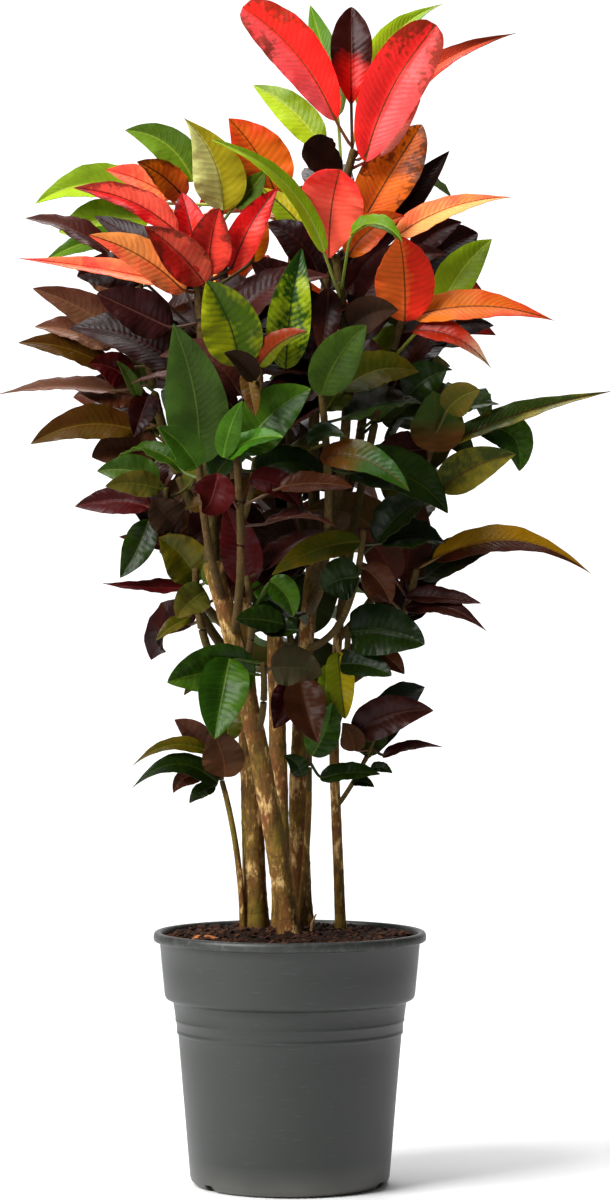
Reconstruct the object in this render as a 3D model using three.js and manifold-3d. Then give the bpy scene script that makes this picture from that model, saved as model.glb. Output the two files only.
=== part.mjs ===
// A potted croton: a nursery pot filled with peat, seven woody canes and the leafy shoots that they carry.
// Millimetres, +Z up. The origin is on the pot's underside at its axis, and the plant's front faces -Y.
import * as THREE from 'three';
import { mergeVertices } from 'three/addons/utils/BufferGeometryUtils.js';
import Module from 'manifold-3d';

const wasm = await Module();
wasm.setup();

// Driving dimensions of the pot and the soil
const potHeight = 251;
const rimRadius = 135.5;
const rimDepth = 10;
const collarTopRadius = 129.5;
const collarFootRadius = 124.4;
const collarFoot = 188;
const shoulderRadius = 116;
const wallTopRadius = 111;
const wallFootRadius = 99;
const baseRadius = 91;
const wall = 2.4;
const potSides = 32;
const drainWidth = 15;
const drainHeight = 7;
const drainTurns = [-144, -24, 96];
const soilLevel = 246;
const soilDome = 7;
const caneSides = 8;
const caneStep = 92;
const stemSides = 5;
const stemStep = 66;

// Clearances: between neighbours that touch, and between the leaves of different nodes
const touchGap = 0.3;
const leafRoom = 2.2;

// Blades: a petiole, a folded blade thickest at its midrib, and a point
const petioleHalf = 1.5;
const longPetiole = 34;
const rootSink = 1.2;
const rootGap = 5;
const midribThickness = 1.8;
const smallBlade = 64;
const stations = { large: [0.2, 0.45, 0.74], small: [0.26, 0.66] };
const bladeFold = 16;
const outlines = {
  broad: { rise: 0.52, fall: 0.8 },
  lance: { rise: 0.55, fall: 0.95 },
  strap: { rise: 0.38, fall: 0.7 },
  tailed: { rise: 0.6, fall: 1.35 },
  blunt: { rise: 0.6, fall: 0.42 },
  shoulder: { rise: 0.95, fall: 0.8 },
  heart: { rise: 0.78, fall: 0.42 },
};

// The outer limit of the crown at each height: [height, left, right]
const crown = [
  [380, -120, 125],
  [460, -115, 135],
  [560, -155, 150],
  [660, -175, 205],
  [760, -215, 215],
  [860, -235, 215],
  [960, -225, 195],
  [1040, -130, 140],
  [1100, -50, 110],
];

// Leaf colours, as [red, green, blue] in linear light
const colours = {
  red: [0.62, 0.05, 0.045],
  orange: [0.68, 0.17, 0.04],
  lime: [0.35, 0.45, 0.05],
  green: [0.055, 0.14, 0.025],
  maroon: [0.055, 0.014, 0.016],
  plum: [0.09, 0.035, 0.04],
  bronze: [0.15, 0.12, 0.025],
  bark: [0.21, 0.135, 0.06],
  plastic: [0.062, 0.07, 0.072],
  peat: [0.09, 0.035, 0.02],
};

// Canes: four control points, girth at foot and top
const canes = {
  back_left: { points: [[-32, 28, 184], [-36, 30, 330], [-42, 36, 470], [-50, 45, 640]], girth: [13.5, 8] },
  front: { points: [[9, -25, 184], [-12, -30, 330], [-30, -40, 470], [-78, -50, 620]], girth: [11.2, 9.6] },
  inner: { points: [[-9, 12, 184], [-8, 12, 330], [-12, 16, 450], [-16, 24, 560]], girth: [10, 8.4] },
  back_right: { points: [[16, 46, 184], [6, 47, 330], [4, 40, 450], [26, 35, 640]], girth: [12.5, 7] },
  middle: { points: [[5, -6, 184], [9, -6, 270], [19, -5, 330], [19, -4, 392]], girth: [4, 3] },
  right: { points: [[51, 36, 184], [53, 36, 330], [35, 32, 430], [50, 30, 560]], girth: [5.6, 4.8] },
  left: { points: [[-46, 18, 184], [-45, 20, 270], [-50, 20, 330], [-66, 17, 392]], girth: [3.7, 2.8] },
};

/* Shoots: the limb leaves its cane at a share of the cane's length, bends by one control point to its tip, and
   tapers over its girth. Its parts run down from the tip, and below them it is bare wood. A part has a colour, a
   length, a count of leaves set by rule, and its leaves set by hand: base across and up, tip across, up and towards
   the back, width, arch, face and outline. */
const shoots = {
  top: {
    cane: 'back_right', at: 0.99, bend: [14, 44, 850], tip: [64, 10, 1030], girth: [6.5, 4],
    parts: [
      {
        colour: 'red', length: 36, rule: 0, leaves: [
          [45, 1057, -47, 1170, -5, 54, 12, 85, 'blunt'],
          [61, 1072, 61, 1170, 20, 44, 4, 90, 'shoulder'],
          [75, 1016, 146, 1152, -25, 62, 10, 90, 'blunt'],
          [90, 1062, 225, 1144, 24, 28, 14, 60, 'tailed'],
          [88, 1022, 130, 1078, 15, 26, 3, 80, 'lance'],
        ],
      },
      {
        colour: 'lime', length: 30, rule: 2, leaves: [
          [48, 1062, 20, 1172, 30, 34, 4, 90, 'lance'],
          [70, 1070, 152, 1173, 20, 34, 22, 75, 'tailed'],
          [32, 1030, -37, 1092, 0, 36, 8, 78, 'lance'],
        ],
      },
      {
        colour: 'maroon', length: 90, rule: 7, leaves: [
          [52, 1008, 14, 1034, -22, 44, 3, 80, 'blunt'],
        ],
      },
    ],
  },
  crest_back: {
    cane: 'back_right', at: 0.93, bend: [-24, 82, 800], tip: [12, 48, 998], girth: [5.5, 3.5],
    parts: [
      {
        colour: 'orange', length: 60, rule: 4, leaves: [
          [-14, 982, -61, 1059, -12, 60, 6, 85, 'lance'],
        ],
      },
    ],
  },
  crest_centre: {
    cane: 'back_right', at: 0.9, bend: [80, -50, 740], tip: [40, -55, 945], girth: [6, 4],
    parts: [
      {
        colour: 'red', length: 26, rule: 0, leaves: [
          [39, 920, 50, 1008, -44, 68, 10, 96, 'heart'],
        ],
      },
      {
        colour: 'orange', length: 28, rule: 0, leaves: [
          [60, 934, 131, 1053, 52, 60, 8, 86, 'shoulder'],
          [58, 922, 114, 962, -8, 36, 8, 72, 'lance'],
        ],
      },
      {
        colour: 'green', length: 28, rule: 0, leaves: [
          [60, 944, 112, 936, -34, 24, 14, 50, 'lance'],
          [36, 920, -28, 990, 2, 38, 4, 86, 'lance'],
          [34, 926, -78, 1038, -25, 20, 20, 60, 'strap'],
        ],
      },
      {
        colour: 'maroon', length: 80, rule: 8, leaves: [
          [58, 915, 159, 1027, 32, 40, 6, 82, 'lance'],
          [55, 885, 105, 918, -5, 34, 6, 75, 'broad'],
          [30, 900, -25, 955, 10, 42, 5, 85, 'lance'],
          [20, 880, -40, 922, 0, 40, 4, 82, 'lance'],
          [60, 872, 98, 896, 24, 46, 5, 78, 'broad'],
          [38, 890, 30, 825, -25, 30, -6, 90, 'lance'],
          [30, 850, -8, 888, -10, 38, 5, 80, 'lance'],
          [60, 850, 108, 868, -15, 40, 6, 78, 'lance'],
          [52, 822, 98, 800, -22, 40, 8, 72, 'broad'],
        ],
      },
    ],
  },
  crest_left: {
    cane: 'front', at: 0.99, bend: [-78, -58, 770], tip: [-92, -85, 915], girth: [8, 4],
    parts: [
      {
        colour: 'red', length: 64, rule: 0, leaves: [
          [-112, 945, -215, 990, -5, 34, 10, 58, 'lance'],
          [-85, 895, -145, 952, -45, 42, 4, 86, 'lance'],
          [-108, 893, -269, 920, -18, 28, 3, 52, 'tailed'],
          [-80, 903, -70, 970, -30, 44, 5, 95, 'broad'],
          [-92, 912, -108, 985, 12, 36, 4, 86, 'broad'],
          [-58, 908, -12, 990, -14, 34, 5, 86, 'lance'],
          [-105, 886, -200, 943, -36, 40, 8, 72, 'lance'],
          [-36, 916, -24, 962, 5, 26, 4, 86, 'broad'],
        ],
      },
      {
        colour: 'maroon', length: 70, rule: 9, leaves: [
          [-108, 900, -195, 962, 18, 34, 6, 80, 'lance'],
          [-118, 850, -192, 885, -28, 50, 6, 82, 'broad'],
          [-146, 898, -212, 902, 4, 42, 6, 76, 'broad'],
        ],
      },
    ],
  },
  crest_back_left: {
    cane: 'back_left', at: 0.99, bend: [-62, 54, 830], tip: [-72, 42, 985], girth: [7.5, 3.8],
    parts: [
      {
        colour: 'lime', length: 52, rule: 2, leaves: [
          [-96, 996, -164, 1047, 10, 40, 14, 76, 'lance'],
          [-66, 968, -106, 1060, -22, 58, 5, 92, 'tailed'],
          [-128, 974, -253, 974, 5, 44, 20, 66, 'lance'],
          [-140, 958, -230, 946, 22, 46, 6, 78, 'broad'],
          [-150, 945, -243, 918, 8, 26, 6, 60, 'lance'],
          [-55, 972, -24, 1008, -8, 28, 4, 82, 'lance'],
        ],
      },
      {
        colour: 'orange', length: 56, rule: 4, leaves: [
          [-105, 980, -152, 1016, -12, 34, 4, 78, 'lance'],
          [-118, 980, -183, 1008, -18, 34, 4, 70, 'lance'],
        ],
      },
    ],
  },
  crest_right: {
    cane: 'right', at: 0.99, bend: [70, 12, 720], tip: [112, -48, 862], girth: [4.8, 3.6],
    parts: [
      {
        colour: 'orange', length: 40, rule: 0, leaves: [
          [114, 857, 108, 942, -46, 60, 8, 93, 'broad'],
          [104, 940, 220, 981, -12, 30, 10, 62, 'tailed'],
          [122, 862, 263, 858, -32, 38, 12, 58, 'tailed'],
          [122, 848, 200, 811, -36, 30, 12, 54, 'tailed'],
        ],
      },
      {
        colour: 'lime', length: 30, rule: 1, leaves: [
          [150, 872, 201, 939, 28, 42, 6, 85, 'lance'],
        ],
      },
      {
        colour: 'maroon', length: 44, rule: 3, leaves: [
          [120, 897, 187, 945, 26, 58, 6, 72, 'broad'],
          [122, 925, 171, 956, 40, 30, 5, 78, 'lance'],
          [135, 838, 203, 853, 20, 36, 8, 62, 'lance'],
        ],
      },
    ],
  },
  left: {
    cane: 'back_left', at: 0.92, bend: [-140, 36, 700], tip: [-150, -5, 905], girth: [6, 3.6],
    parts: [
      {
        colour: 'plum', length: 118, rule: 4, leaves: [
          [-180, 925, -263, 960, 10, 30, 8, 50, 'lance'],
          [-168, 885, -218, 915, -12, 34, 5, 75, 'lance'],
          [-165, 838, -256, 890, -18, 40, 6, 68, 'lance'],
          [-178, 830, -254, 852, -5, 36, 6, 52, 'lance'],
          [-178, 809, -270, 836, -22, 32, 8, 52, 'lance'],
          [-172, 787, -290, 785, 2, 28, 6, 40, 'tailed'],
        ],
      },
      {
        colour: 'bronze', length: 90, rule: 5, leaves: [
          [-146, 795, -166, 859, -48, 22, 4, 86, 'lance'],
          [-150, 780, -172, 818, -38, 14, 3, 80, 'lance'],
          [-160, 798, -200, 815, -28, 36, 5, 80, 'lance'],
          [-152, 748, -258, 735, -32, 40, 13, 62, 'lance'],
          [-140, 785, -155, 742, -38, 30, -5, 88, 'lance'],
          [-132, 724, -197, 722, -22, 50, 6, 80, 'broad'],
          [-150, 782, -208, 786, 6, 40, 5, 76, 'broad'],
        ],
      },
    ],
  },
  left_front: {
    cane: 'front', at: 0.9, bend: [-84, -118, 640], tip: [-88, -122, 728], girth: [4.5, 3.4],
    parts: [
      {
        colour: 'green', length: 56, rule: 4, leaves: [
          [-90, 716, -116, 855, -28, 62, 8, 92, 'lance'],
          [-92, 712, -132, 752, -48, 34, 5, 76, 'lance'],
        ],
      },
    ],
  },
  variegated: {
    cane: 'front', at: 0.95, bend: [-20, -95, 690], tip: [-30, -108, 818], girth: [4.5, 3.4],
    parts: [
      {
        colour: 'lime', length: 40, rule: 0, leaves: [
          [-50, 812, -83, 897, -22, 60, 6, 88, 'broad'],
          [-4, 810, 12, 930, -12, 46, 4, 90, 'lance'],
          [-31, 813, 17, 847, -42, 28, 6, 66, 'lance'],
        ],
      },
      {
        colour: 'maroon', length: 60, rule: 8, leaves: [
          [-34, 800, -66, 826, -36, 24, 4, 80, 'lance'],
          [-42, 810, -34, 764, -42, 20, -3, 90, 'strap'],
        ],
      },
    ],
  },
  centre_front: {
    cane: 'front', at: 0.82, bend: [-40, -125, 610], tip: [-52, -132, 730], girth: [4.5, 3.4],
    parts: [
      {
        colour: 'green', length: 56, rule: 1, leaves: [
          [-48, 726, 21, 790, -15, 54, 8, 80, 'broad'],
          [-62, 722, -7, 742, -38, 22, 8, 55, 'strap'],
          [-66, 722, -47, 778, -45, 24, 4, 86, 'lance'],
        ],
      },
      {
        colour: 'maroon', length: 44, rule: 4, leaves: [
          [-72, 706, -88, 668, -30, 40, -4, 90, 'lance'],
          [-40, 700, 10, 672, -20, 30, 8, 70, 'lance'],
          [-10, 692, 62, 692, 0, 24, 4, 60, 'strap'],
        ],
      },
    ],
  },
  centre_right: {
    cane: 'back_right', at: 0.84, bend: [50, -90, 610], tip: [30, -112, 788], girth: [5, 3.4],
    parts: [
      {
        colour: 'green', length: 96, rule: 6, leaves: [
          [32, 784, 76, 853, -15, 48, 6, 88, 'broad'],
          [36, 768, 70, 805, 10, 32, 5, 80, 'lance'],
          [18, 735, 55, 742, -30, 22, 8, 58, 'lance'],
          [30, 722, 119, 688, -42, 34, 14, 72, 'lance'],
        ],
      },
    ],
  },
  right: {
    cane: 'right', at: 0.95, bend: [124, -14, 610], tip: [150, -35, 795], girth: [4.5, 3.4],
    parts: [
      {
        colour: 'green', length: 50, rule: 2, leaves: [
          [118, 782, 156, 808, -12, 42, 5, 80, 'broad'],
          [168, 768, 208, 775, -5, 16, 3, 50, 'lance'],
          [155, 735, 320, 788, -10, 28, 6, 52, 'tailed'],
          [186, 750, 228, 708, 12, 40, 20, 76, 'broad'],
        ],
      },
      {
        colour: 'bronze', length: 76, rule: 6, leaves: [
          [156, 768, 189, 788, -24, 34, 4, 82, 'broad'],
          [147, 727, 143, 788, -38, 56, 5, 93, 'broad'],
          [150, 690, 225, 725, -28, 44, 6, 80, 'lance'],
          [135, 730, 82, 727, -35, 40, 5, 70, 'lance'],
        ],
      },
    ],
  },
  right_low: {
    cane: 'right', at: 0.82, bend: [104, 12, 510], tip: [126, -20, 612], girth: [4.5, 3.4],
    parts: [
      {
        colour: 'bronze', length: 26, rule: 1, leaves: [
          [142, 620, 300, 606, -20, 34, 27, 58, 'tailed'],
          [132, 600, 218, 638, -2, 34, 8, 58, 'lance'],
        ],
      },
      {
        colour: 'maroon', length: 50, rule: 4, leaves: [
          [115, 598, 123, 697, -42, 46, 4, 92, 'lance'],
          [104, 600, 66, 652, -32, 38, 5, 82, 'lance'],
          [115, 584, 190, 577, -14, 24, 8, 48, 'lance'],
          [115, 572, 196, 549, -26, 26, 12, 50, 'tailed'],
          [98, 582, 72, 618, -20, 30, 4, 80, 'lance'],
        ],
      },
    ],
  },
  left_low: {
    cane: 'back_left', at: 0.62, bend: [-95, 14, 520], tip: [-93, -25, 612], girth: [5, 3.4],
    parts: [
      {
        colour: 'bronze', length: 36, rule: 1, leaves: [
          [-92, 598, -130, 642, -30, 48, 5, 88, 'broad'],
          [-84, 596, -46, 640, -52, 24, 4, 80, 'lance'],
          [-84, 588, -112, 562, -30, 36, 3, 85, 'broad'],
          [-98, 562, -133, 540, -15, 18, 3, 55, 'lance'],
        ],
      },
      {
        colour: 'maroon', length: 30, rule: 3, leaves: [
          [-100, 592, -186, 597, -18, 24, 4, 32, 'tailed'],
        ],
      },
    ],
  },
  left_middle: {
    cane: 'back_left', at: 0.78, bend: [-124, 4, 590], tip: [-122, -25, 692], girth: [5, 3.4],
    parts: [
      {
        colour: 'bronze', length: 40, rule: 2, leaves: [
          [-128, 690, -184, 693, -18, 28, 4, 75, 'lance'],
          [-130, 700, -192, 708, 5, 34, 5, 80, 'lance'],
          [-140, 660, -169, 602, -5, 34, -3, 85, 'lance'],
        ],
      },
      {
        colour: 'maroon', length: 40, rule: 4, leaves: [
          [-138, 673, -214, 673, -15, 32, 5, 66, 'lance'],
          [-112, 655, -135, 682, -12, 40, 4, 85, 'broad'],
          [-118, 630, -170, 643, -8, 16, 3, 50, 'lance'],
        ],
      },
    ],
  },
  centre_low: {
    cane: 'front', at: 0.74, bend: [-30, -88, 540], tip: [-42, -78, 604], girth: [4, 3.2],
    parts: [
      {
        colour: 'maroon', length: 28, rule: 2, leaves: [
          [-44, 594, -65, 676, -35, 42, 4, 90, 'lance'],
        ],
      },
      {
        colour: 'green', length: 36, rule: 2, leaves: [
          [-20, 600, 3, 563, -20, 30, 6, 80, 'lance'],
          [-30, 558, 10, 550, -10, 28, 4, 60, 'lance'],
          [-6, 556, -54, 561, -14, 30, 8, 62, 'broad'],
        ],
      },
    ],
  },
  low_front: {
    cane: 'front', at: 0.6, bend: [-22, -64, 470], tip: [-26, -64, 520], girth: [3.8, 3],
    parts: [
      {
        colour: 'green', length: 40, rule: 0, leaves: [
          [-34, 506, -122, 498, -42, 56, 6, 82, 'broad'],
          [-60, 522, -75, 442, -32, 52, -4, 92, 'broad'],
          [-18, 512, 32, 505, -15, 44, 4, 84, 'broad'],
        ],
      },
    ],
  },
  centre_middle: {
    cane: 'back_right', at: 0.76, bend: [64, -34, 540], tip: [72, -70, 650], girth: [4, 3],
    parts: [
      {
        colour: 'green', length: 50, rule: 5, leaves: [
          [70, 638, -18, 605, -18, 30, 8, 72, 'lance'],
          [74, 612, 100, 576, 5, 32, 4, 84, 'lance'],
          [68, 602, 32, 590, 20, 44, 4, 84, 'broad'],
        ],
      },
    ],
  },
  right_lower: {
    cane: 'right', at: 0.7, bend: [56, -2, 480], tip: [58, -8, 556], girth: [3.8, 3],
    parts: [
      {
        colour: 'green', length: 30, rule: 0, leaves: [
          [60, 548, 134, 536, -32, 56, 6, 82, 'strap'],
          [50, 516, 101, 505, -36, 30, 5, 64, 'strap'],
        ],
      },
      {
        colour: 'bronze', length: 36, rule: 0, leaves: [
          [84, 530, 114, 506, -8, 22, 3, 75, 'lance'],
          [48, 528, 55, 462, -14, 30, -3, 86, 'strap'],
          [38, 516, 30, 452, -22, 18, -2, 90, 'strap'],
        ],
      },
    ],
  },
  low_right: {
    cane: 'right', at: 0.5, bend: [66, 22, 396], tip: [86, 8, 446], girth: [2.6, 2.2],
    parts: [
      {
        colour: 'plum', length: 24, rule: 0, leaves: [
          [64, 446, 143, 470, -14, 44, 8, 76, 'lance'],
          [64, 430, 52, 458, -18, 28, 3, 85, 'lance'],
          [92, 424, 152, 434, -2, 16, 6, 38, 'tailed'],
        ],
      },
      {
        colour: 'green', length: 26, rule: 1, leaves: [
          [82, 425, 88, 470, -32, 38, 3, 90, 'broad'],
          [80, 412, 102, 408, -10, 14, 3, 50, 'lance'],
          [62, 398, 84, 394, -6, 14, 3, 50, 'lance'],
        ],
      },
    ],
  },
  low_centre: {
    cane: 'middle', at: 0.99, bend: [20, -4, 450], tip: [16, -8, 514], girth: [3, 2.6],
    parts: [
      {
        colour: 'maroon', length: 40, rule: 0, leaves: [
          [10, 504, 28, 438, -36, 44, -5, 92, 'lance'],
          [2, 500, -16, 452, -10, 34, -3, 90, 'lance'],
        ],
      },
      {
        colour: 'green', length: 60, rule: 1, leaves: [
          [30, 402, 90, 407, 14, 24, 4, 50, 'lance'],
          [12, 404, -6, 425, 6, 20, 4, 60, 'lance'],
          [22, 425, 42, 478, -6, 34, 3, 88, 'broad'],
        ],
      },
    ],
  },
  low_left: {
    cane: 'left', at: 0.99, bend: [-72, 14, 412], tip: [-74, 6, 446], girth: [2.8, 2.2],
    parts: [
      {
        colour: 'bronze', length: 26, rule: 0, leaves: [
          [-64, 404, -78, 450, -26, 44, 4, 92, 'broad'],
          [-82, 432, -115, 461, -5, 28, 3, 80, 'lance'],
          [-80, 428, -156, 416, -12, 18, 14, 58, 'tailed'],
          [-62, 440, -60, 482, 8, 30, 3, 88, 'lance'],
          [-86, 404, -116, 388, -5, 20, 8, 70, 'lance'],
        ],
      },
      {
        colour: 'green', length: 22, rule: 0, leaves: [
          [-72, 398, -157, 393, -14, 26, 28, 60, 'tailed'],
          [-74, 394, -100, 378, -8, 18, 4, 60, 'lance'],
        ],
      },
    ],
  },
  back_crown_left: {
    cane: 'back_left', at: 0.95, bend: [-76, 140, 730], tip: [-70, 150, 890], girth: [6, 3.6],
    parts: [
      { colour: 'orange', length: 46, rule: 7, leaves: [] },
      { colour: 'maroon', length: 100, rule: 10, leaves: [] },
    ],
  },
  back_crown_right: {
    cane: 'back_right', at: 0.96, bend: [84, 130, 700], tip: [78, 150, 880], girth: [6, 3.6],
    parts: [
      { colour: 'red', length: 46, rule: 8, leaves: [] },
      { colour: 'green', length: 100, rule: 12, leaves: [] },
    ],
  },
  back_middle: {
    cane: 'inner', at: 0.99, bend: [-4, 130, 620], tip: [6, 165, 735], girth: [5.5, 3.6],
    parts: [
      {
        colour: 'maroon', length: 110, rule: 10, leaves: [
          [10, 700, 78, 706, -6, 54, 8, 78, 'broad'],
          [6, 668, 56, 622, -10, 52, 5, 82, 'broad'],
          [4, 655, -34, 612, -10, 50, 5, 84, 'broad'],
          [8, 708, -10, 762, -20, 46, 5, 88, 'broad'],
        ],
      },
    ],
  },
  back_left: {
    cane: 'back_left', at: 0.7, bend: [-122, 90, 590], tip: [-138, 105, 705], girth: [5.5, 3.6],
    parts: [
      { colour: 'plum', length: 110, rule: 12, leaves: [] },
    ],
  },
  back_right: {
    cane: 'right', at: 0.9, bend: [124, 84, 560], tip: [138, 100, 695], girth: [4.5, 3.4],
    parts: [
      {
        colour: 'bronze', length: 110, rule: 12, leaves: [
          [128, 668, 84, 716, -6, 54, 6, 82, 'broad'],
        ],
      },
    ],
  },
  back_low: {
    cane: 'back_right', at: 0.54, bend: [24, 112, 470], tip: [-6, 122, 560], girth: [5, 3.4],
    parts: [
      {
        colour: 'green', length: 90, rule: 8, leaves: [
          [4, 548, 50, 604, -6, 56, 6, 84, 'broad'],
          [-8, 545, -36, 608, -6, 50, 5, 86, 'broad'],
          [6, 520, 54, 500, -10, 50, 6, 80, 'broad'],
          [10, 505, 34, 440, -12, 44, -4, 88, 'lance'],
          [2, 552, 12, 612, -24, 46, 5, 88, 'broad'],
        ],
      },
    ],
  },
};

// Leaves set by rule: the golden turn between one leaf and the next, and their sizes
const goldenTurn = 137.5;
const ruleLength = { low: 92, high: 138 };
const ruleWidth = { low: 40, high: 56 };
const ruleRise = { low: 2, high: 42 };
const ruleDroop = { low: 8, high: 22 };
const ruleFace = { low: 10, high: 65 };
const rulePetiole = 22;
const shortened = 0.74;
const rootMargin = 6;

let drawState = 20417;

function draw(low, high) {
  drawState = (drawState * 16807) % 2147483647;
  return low + (high - low) * (drawState / 2147483647);
}

// Vectors are plain lists of three numbers
const add = (a, b, scale = 1) => [a[0] + b[0] * scale, a[1] + b[1] * scale, a[2] + b[2] * scale];
const dot = (a, b) => a[0] * b[0] + a[1] * b[1] + a[2] * b[2];
const cross = (a, b) => [a[1] * b[2] - a[2] * b[1], a[2] * b[0] - a[0] * b[2], a[0] * b[1] - a[1] * b[0]];
const unit = (a) => add([0, 0, 0], a, 1 / Math.sqrt(dot(a, a)));
const across = (a, along) => unit(add(a, along, -dot(a, along)));
const radians = (degrees) => (degrees * Math.PI) / 180;

// A curve as a fine row of points with the length up to each
function route(curve) {
  const count = 60;
  const points = [];
  const lengths = [0];
  for (let i = 0; i <= count; i += 1) {
    points.push(curve(i / count));
    if (i > 0) {
      const step = add(points[i], points[i - 1], -1);
      lengths.push(lengths[i - 1] + Math.sqrt(dot(step, step)));
    }
  }
  return { points, lengths, length: lengths[count] };
}

function pointAt(path, length) {
  const wanted = Math.min(Math.max(length, 0), path.length);
  let i = 1;
  while (path.lengths[i] < wanted && i < path.lengths.length - 1) {
    i += 1;
  }
  const share = (wanted - path.lengths[i - 1]) / (path.lengths[i] - path.lengths[i - 1]);
  return add(path.points[i - 1], add(path.points[i], path.points[i - 1], -1), share);
}

function cubic(points) {
  const [a, b, c, d] = points;
  return (t) => {
    const s = 1 - t;
    const start = add(add([0, 0, 0], a, s * s * s), b, 3 * s * s * t);
    return add(add(start, c, 3 * s * t * t), d, t * t * t);
  };
}

function quadratic(a, b, c) {
  return (t) => {
    const s = 1 - t;
    return add(add(add([0, 0, 0], a, s * s), b, 2 * s * t), c, t * t);
  };
}

// The stretch of a path between two lengths, as a curve that a section is extruded along
class Stretch extends THREE.Curve {
  constructor(path, from, to) {
    super();
    this.path = path;
    this.from = from;
    this.to = to;
  }

  getPoint(t, target = new THREE.Vector3()) {
    return target.set(...pointAt(this.path, this.from + (this.to - this.from) * t));
  }
}

// A round stem along a stretch, its unit section swelled at each step to the girth there
function stem(path, from, to, girth, sides, steps) {
  const stretch = new Stretch(path, from, to);
  const corners = [];
  for (let i = 0; i < sides; i += 1) {
    const turn = (2 * Math.PI * i) / sides;
    corners.push(new THREE.Vector2(Math.cos(turn), Math.sin(turn)));
  }
  const section = new THREE.Shape(corners);
  const geometry = new THREE.ExtrudeGeometry(section, { steps, bevelEnabled: false, extrudePath: stretch });
  const centres = stretch.getSpacedPoints(steps);
  const vertices = geometry.getAttribute('position');
  const vertex = new THREE.Vector3();
  for (let i = 0; i < vertices.count; i += 1) {
    vertex.fromBufferAttribute(vertices, i);
    const gaps = centres.map((centre) => centre.distanceTo(vertex));
    const nearest = gaps.indexOf(Math.min(...gaps));
    const radius = girth[0] + ((girth[1] - girth[0]) * nearest) / steps;
    vertex.sub(centres[nearest]).setLength(radius);
    vertex.add(centres[nearest]);
    vertices.setXYZ(i, vertex.x, vertex.y, vertex.z);
  }
  return geometry;
}

function solid(geometry) {
  const bare = geometry.clone();
  bare.deleteAttribute('normal');
  bare.deleteAttribute('uv');
  const merged = mergeVertices(bare, 1e-4);
  const vertProperties = new Float32Array(merged.getAttribute('position').array);
  const triVerts = new Uint32Array(merged.getIndex().array);
  return new wasm.Manifold(new wasm.Mesh({ numProp: 3, vertProperties, triVerts }));
}

function material(colour, roughness) {
  return new THREE.MeshStandardMaterial({ color: new THREE.Color(...colour), roughness, metalness: 0 });
}

function meshFrom(body, name, finish) {
  const result = body.getMesh();
  const geometry = new THREE.BufferGeometry();
  geometry.setAttribute('position', new THREE.BufferAttribute(new Float32Array(result.vertProperties), 3));
  geometry.setIndex(new THREE.BufferAttribute(new Uint32Array(result.triVerts), 1));
  geometry.computeVertexNormals();
  const mesh = new THREE.Mesh(geometry, finish);
  mesh.name = name;
  return mesh;
}

// Pot: one turned wall with its rim, collar, step and rings, and drain slots through the bottom corner
function turned(profile) {
  const points = profile.map(([radius, height]) => new THREE.Vector2(radius, height));
  const geometry = new THREE.LatheGeometry(points, potSides);
  geometry.rotateX(Math.PI / 2);
  return geometry;
}

const innerWall = [
  [wallFootRadius - wall - 2, wall + 0.6],
  [shoulderRadius - wall - 1, collarFoot - 7],
  [collarFootRadius - wall, collarFoot + 2],
  [collarTopRadius - wall, potHeight - rimDepth + 2],
];

function pot() {
  const outside = [
    [0, 0],
    [baseRadius, 0],
    [wallFootRadius, 7],
    [wallTopRadius, 151],
    [wallTopRadius + 1.6, 155],
    [wallTopRadius + 2, 164],
    [shoulderRadius, collarFoot - 6.5],
    [collarFootRadius - 2, collarFoot - 3],
    [collarFootRadius, collarFoot],
    [collarTopRadius, potHeight - rimDepth],
    [rimRadius, potHeight - rimDepth + 2.5],
    [rimRadius, potHeight - 2.5],
    [rimRadius - 4, potHeight],
    [collarTopRadius - wall + 1, potHeight - 1.2],
  ];
  const profile = [...outside, ...[...innerWall].reverse(), [0, innerWall[0][1]]];
  let body = solid(turned(profile));
  for (const turn of drainTurns) {
    const slot = new THREE.BoxGeometry(24, drainWidth, 2 * drainHeight);
    slot.translate(wallFootRadius, 0, 0);
    slot.rotateZ(radians(turn));
    body = body.subtract(solid(slot));
  }
  return meshFrom(body, 'pot', material(colours.plastic, 0.42));
}

// Soil: the filling, lumpy on top, with a plain hole for each cane
function soil(paths) {
  const side = innerWall.map(([radius, height], i) => [radius - touchGap, height + (i === 0 ? touchGap : 0)]);
  side[side.length - 1] = [side[side.length - 1][0] - 0.4, soilLevel - 2];
  const top = [102, 70, 36].map((radius) => [radius, soilLevel + soilDome * (1 - radius / 120)]);
  const geometry = turned([[0, side[0][1]], ...side, ...top, [0, soilLevel + soilDome]]);
  const vertices = geometry.getAttribute('position');
  for (let i = 0; i < vertices.count; i += 1) {
    const x = vertices.getX(i);
    const y = vertices.getY(i);
    if (vertices.getZ(i) > soilLevel - 1) {
      const lump = Math.sin(x * 0.11 + 1.3) * Math.cos(y * 0.13) + 0.6 * Math.sin(x * 0.23 - y * 0.19);
      vertices.setZ(i, vertices.getZ(i) + 1.7 * lump);
    }
  }
  let body = solid(geometry);
  for (const [name, path] of Object.entries(paths)) {
    const radius = (canes[name].girth[0] + touchGap) / Math.cos(Math.PI / caneSides);
    const firstStep = touchGap + (path.length - touchGap) / caneSteps(path);
    const hole = stem(path, 0, firstStep, [radius, radius], caneSides, 1);
    body = body.subtract(solid(hole));
  }
  return meshFrom(body, 'soil', material(colours.peat, 0.95));
}

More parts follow.
